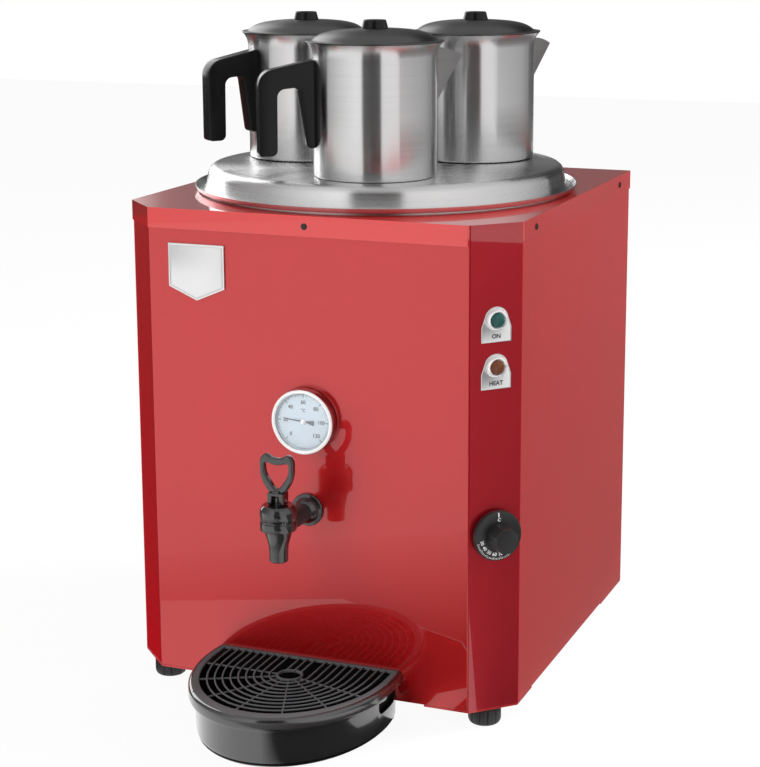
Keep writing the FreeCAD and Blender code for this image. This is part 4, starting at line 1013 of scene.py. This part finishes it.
def barLine(name, step):
    # The open U line of one bar: half an oval in front, straight runs behind.
    share = step / grateLook["bars"]
    wide = grateLook["ring"] + (grateLook["slotWide"] - grateLook["ring"]) * share
    reach = grateLook["ring"] + (grateLook["slotReach"] - grateLook["ring"]) * share
    middle = grateLook["ringY"] + (grateLook["fieldY"] - grateLook["ringY"]) * share
    rowEnd = trayLook["back"] - 2.4 - 3
    piece = circle(name, 96)
    enter(piece)
    widen(wide, reach)
    slide(y=middle, z=grateLook["barLow"])
    pick(piece, "VERT", lambda point: point.co.y > (middle + 0.01) * mm)
    bpy.ops.mesh.delete(type="VERT")
    pick(piece, "VERT", lambda point: len(point.link_edges) == 1)
    bpy.ops.mesh.extrude_vertices_move(TRANSFORM_OT_translate={"value": (0, (rowEnd - middle) * mm, 0)})
    return piece


def bar(step):
    piece = barLine("grate_bar", step)
    selectAll()
    bpy.ops.mesh.extrude_edges_indiv()
    slide(z=grateLook["top"] - grateLook["barLow"])
    leave()
    modify(piece, "SOLIDIFY", thickness=grateLook["bar"] * mm, offset=0, use_even_offset=True)
    tidyNormals(piece)
    return bevel(piece, 0.45, 2, 50)


def tieReach(angle):
    # How far a tie runs from the ring's middle to just inside the border, an oval round another centre.
    wide, reach = grateLook["slotWide"] + 2, grateLook["slotReach"] + 3
    shift = (grateLook["ringY"] - grateLook["fieldY"]) / reach
    across, along = math.cos(angle) / wide, math.sin(angle) / reach
    square = across ** 2 + along ** 2
    return (math.sqrt((along * shift) ** 2 + square * (1 - shift ** 2)) - along * shift) / square


def dripGrate():
    low, top = grateLook["low"], grateLook["top"]
    border = halfOval("grate_border", [(3.6, low), (3.4, low + 0.2), (3.4, top - 0.5), (3.9, top)],
                      trayLook["back"] - 2.4)
    field = barLine("field", grateLook["bars"])
    selectAll()
    bpy.ops.mesh.edge_face_add()
    selectAll()
    slide(z=-2)
    drawOut(z=8)
    leave()
    tidyNormals(field)
    border = combine(border, field)
    bevel(border, 0.3, 2, 50)
    parts = [border] + [bar(step) for step in range(1, grateLook["bars"])]
    ring = lathe("grate_ring", [
        (10.9, low), (12.4, low), (12.9, low + 0.6), (12.9, top - 0.5), (12.3, top), (11.3, top),
        (10.9, top - 0.4), (10.9, low)], 64)
    parts.append(put(ring, 0, grateLook["ringY"]))
    rowEnd = trayLook["back"] - 2.4 - 2
    for x in (-7.6, 0, 7.6):
        spine = box("spine", (x - 0.85, grateLook["ringY"] + 9.5, grateLook["barLow"]),
                    (x + 0.85, rowEnd, top))
        parts.append(bevel(spine, 0.4, 2))
    for angle in (180, 207, 236, 262, 290, 318, 345):
        tie = box("tie", (grateLook["ring"], -0.6, low), (tieReach(math.radians(angle)), 0.6, low + 1.7))
        bevel(tie, 0.3, 1)
        parts.append(put(tie, 0, grateLook["ringY"], 0, (0, 0, angle)))
    piece = join([smooth(part) for part in parts], "grate_bars")
    put(piece, middleX)
    mount(piece, "drip_grate", "grate_plastic", grateBlack, "drip_grate")


dripTray()
dripGrate()
print("drip tray done")

# Studio
# How bright the room is at bearings in degrees from the front towards the right. The front and sides show in
# the pots, and the rear in the lid and the top cover.
potRoom = [(-179, 0.03), (-100, 0.05), (-82, 0.3), (-63, 0.42), (-36, 0.75), (-12, 1.05), (-3, 1.05),
           (0, 0.09), (22, 0.05), (31, 0.08), (35, 0.9), (56, 0.95), (80, 0.85), (107, 0.7), (123, 0.6),
           (143, 0.36), (165, 0.16), (179, 0.05)]
rearRoom = [(146, 0.04), (178, 0.05), (190, 0.15), (212, 0.2), (218, 2.2), (256, 3)]
arc = {"away": 3150, "floor": 1, "split": 470, "top": 3600}
studio = {"floor": 6.0, "floorColour": 0.9, "floorGlow": 0.93, "worldLevel": 0.45, "worldGloss": 0.62,
          "lampTarget": (0, 0, 0.3)}


def shine(paint, level):
    # Makes the paint a plain glow whose brightness is the level.
    return paint.show(paint.node("Emission", {}, {"Color": level}))


def flag(card, material):
    # A card that only shows in the steel and the gloss.
    card.data.materials.append(material)
    for rays in ("camera", "diffuse", "shadow", "transmission"):
        setattr(card, "visible_" + rays, False)


def floorFlag(name, corners, near, far=None, bearing=0.0, reach=(0, 1), low=2):
    # Lies just over the floor. Its colour changes over a reach of metres along a bearing.
    card = plate(name, [(x / mm, y / mm) for x, y in corners], low, low + 1)
    paint = Paint(name + "_card")
    turned = math.radians(bearing)
    along = paint.node("VectorMath", {"operation": "DOT_PRODUCT"},
                       {0: paint.place, 1: (math.sin(turned), -math.cos(turned), 0)}, "Value")
    share = paint.node("MapRange", {}, {"Value": along, "From Min": reach[0], "From Max": reach[1]})
    flag(card, shine(paint, paint.blend(share, near + (1,), (far or near) + (1,))))


def arcFlag(name, low, high, levels):
    # Stands upright on an arc round the part. Levels are given at bearings from the front towards the right.
    first, last = levels[0][0], levels[-1][0]

    def place(u, v):
        bearing = math.radians(first + (last - first) * u)
        return arc["away"] * math.sin(bearing), -arc["away"] * math.cos(bearing), low + (high - low) * v

    card = grid(name, 72, 1, place)
    paint = Paint(name + "_card")
    # The bearing is measured from the middle of the arc, so that it never jumps.
    turned = paint.node("VectorRotate", {"rotation_type": "Z_AXIS"},
                        {"Vector": paint.place, "Angle": -math.radians((first + last) / 2)}, "Vector")
    parts = paint.node("SeparateXYZ", {}, {0: turned}, "X")
    ahead = Value(paint, parts.socket.node.outputs["Y"]) * -1.0
    bearing = paint.node("Math", {"operation": "ARCTAN2"}, {0: parts, 1: ahead})
    half = math.radians(last - first) / 2
    share = paint.node("MapRange", {}, {"Value": bearing, "From Min": -half, "From Max": half})
    stops = [((at - first) / (last - first), shade(level)) for at, level in levels]
    ramp = paint.node("ValToRGB", {"stops": stops}, {"Fac": share}, "Color")
    flag(card, shine(paint, ramp))


def floorFinish():
    # Pale floor: near white to the camera and in reflections, with the object's shadow kept.
    paint = Paint("studio_floor")
    paint.set(Base_Color=shade(studio["floorColour"]), Roughness=0.9)
    path = paint.tree.nodes.new("ShaderNodeLightPath")
    seen = Value(paint, path.outputs["Is Camera Ray"]) + Value(paint, path.outputs["Is Glossy Ray"])
    glow = paint.node("Emission", {}, {"Color": shade(1)})
    mixed = paint.node("MixShader", {}, {0: seen * studio["floorGlow"], 2: glow})
    paint.tree.links.new(paint.shader.outputs[0], mixed.socket.node.inputs[1])
    return paint.show(mixed)


clearSelection()
bpy.ops.mesh.primitive_plane_add(size=2 * studio["floor"])
floor = named("studio_floor")
floor.data.materials.append(floorFinish())
floorFlag("flag_front", [(-0.75, -0.139), (-0.75, -0.2), (0.19, -0.86), (0.19, -0.139), (0.13, -0.139),
                         (0.14, -0.25), (0.08, -0.345), (-0.09, -0.42), (-0.28, -0.34), (-0.3, -0.139)],
          (0.11, 0.08, 0.08), (0.95, 0.94, 0.94), -35, (0.2, 0.6))
floorFlag("flag_tray", [(-0.299, -0.14), (-0.279, -0.339), (-0.089, -0.419), (0.079, -0.344), (0.139, -0.25),
                        (0.129, -0.14)], (1, 1, 1), (0.03, 0.03, 0.03), 90, (0.012, 0.035), 1)
floorFlag("flag_wing", [(0.105, -0.2), (0.138, -0.235), (0.129, -0.14), (0.105, -0.14)],
          (0.9, 0.9, 0.9), low=4)
floorFlag("flag_strip", [(0.195, -0.14), (2.75, -1.12), (2.8, -0.82), (0.22, -0.1)],
          (0.07, 0.06, 0.07))
floorFlag("flag_side", [(0.205, -0.095), (2.8, -0.81), (4.5, -1.3), (4.5, 4.5), (0.205, 4.5)],
          (0.16, 0.15, 0.15), (0.19, 0.18, 0.18), 163, (0.2, 3))
floorFlag("flag_left", [(-0.19, -0.16), (-0.21, 4.5), (-4.5, 4.5), (-4.5, -0.16)],
          (0.06, 0.06, 0.06), (0.05, 0.05, 0.05))
floorFlag("flag_bevel", [(-0.2, -0.14), (-0.2, -0.07), (-2.9, 1.72), (-3, 1.4)],
          (0.5, 0.01, 0.02), (0.42, 0.03, 0.03), -119, (0.2, 3), 4)
floorFlag("flag_pot_middle", [(0.02, -0.62), (-0.06, -3.1), (1.75, -2.65), (0.4, -0.62)],
          (0.05, 0.05, 0.05))
arcFlag("flag_pots", arc["floor"], arc["split"], potRoom)
arcFlag("flag_room", arc["split"] + 1, arc["top"], [stop for stop in potRoom if -110 < stop[0] < 150])
arcFlag("flag_rear", arc["split"] + 1, arc["top"], rearRoom)

world = bpy.context.scene.world or bpy.data.worlds.new("studio")
bpy.context.scene.world = world
world.use_nodes = True
tree = world.node_tree
tree.nodes.clear()
output = tree.nodes.new("ShaderNodeOutputWorld")
background = tree.nodes.new("ShaderNodeBackground")
path = tree.nodes.new("ShaderNodeLightPath")


def lit(rays, level, base):
    # Adds a level to the base for one kind of ray.
    made = tree.nodes.new("ShaderNodeMath")
    made.operation = "MULTIPLY_ADD"
    tree.links.new(path.outputs[rays], made.inputs[0])
    made.inputs[1].default_value = level
    if isinstance(base, float):
        made.inputs[2].default_value = base
    else:
        tree.links.new(base, made.inputs[2])
    return made.outputs[0]


# The camera sees plain white, and the gloss and the steel see a softer white.
strength = lit("Is Camera Ray", 1 - studio["worldLevel"], studio["worldLevel"])
strength = lit("Is Transmission Ray", 1 - studio["worldLevel"], strength)
strength = lit("Is Glossy Ray", studio["worldGloss"] - studio["worldLevel"], strength)
tree.links.new(strength, background.inputs["Strength"])
background.inputs["Color"].default_value = shade(1)
tree.links.new(background.outputs[0], output.inputs["Surface"])


def softbox(name, place, size, power):
    # A lamp that lights the part without showing in its gloss.
    clearSelection()
    bpy.ops.object.light_add(type="AREA", location=place)
    lamp = bpy.context.object
    lamp.name = name
    lamp.data.shape = "RECTANGLE"
    lamp.data.size, lamp.data.size_y = size
    lamp.data.energy = power
    lamp.visible_glossy = False
    lamp.rotation_euler = (Vector(studio["lampTarget"]) - Vector(place)).to_track_quat("-Z", "Y").to_euler()


softbox("key_softbox", (-1.1, -2.5, 2.1), (1.6, 1.6), 62)
softbox("side_softbox", (2.2, 1.5, 1.5), (1.4, 1.6), 140)
softbox("top_softbox", (0.0, 2.0, 3.2), (1.8, 1.4), 16)

# Camera
view = {"azimuth": 21.99, "elevation": 12.01, "roll": -0.27, "place": (0.72306, -1.74914, 0.75935),
        "lens": 90.68, "shiftY": -0.0802}
azimuth, elevation = math.radians(view["azimuth"]), math.radians(view["elevation"])
look = Vector((-math.sin(azimuth) * math.cos(elevation), math.cos(azimuth) * math.cos(elevation),
               -math.sin(elevation)))
bpy.ops.object.camera_add(location=view["place"])
camera = bpy.context.object
camera.rotation_euler = (look.to_track_quat("-Z", "Y").to_matrix()
                         @ Matrix.Rotation(math.radians(view["roll"]), 3, "Z")).to_euler()
camera.data.lens = view["lens"]
camera.data.sensor_width = 36
camera.data.shift_y = view["shiftY"]
camera.data.clip_end = 50
bpy.context.scene.camera = camera
bpy.context.scene.view_settings.view_transform = "Standard"

clearSelection()
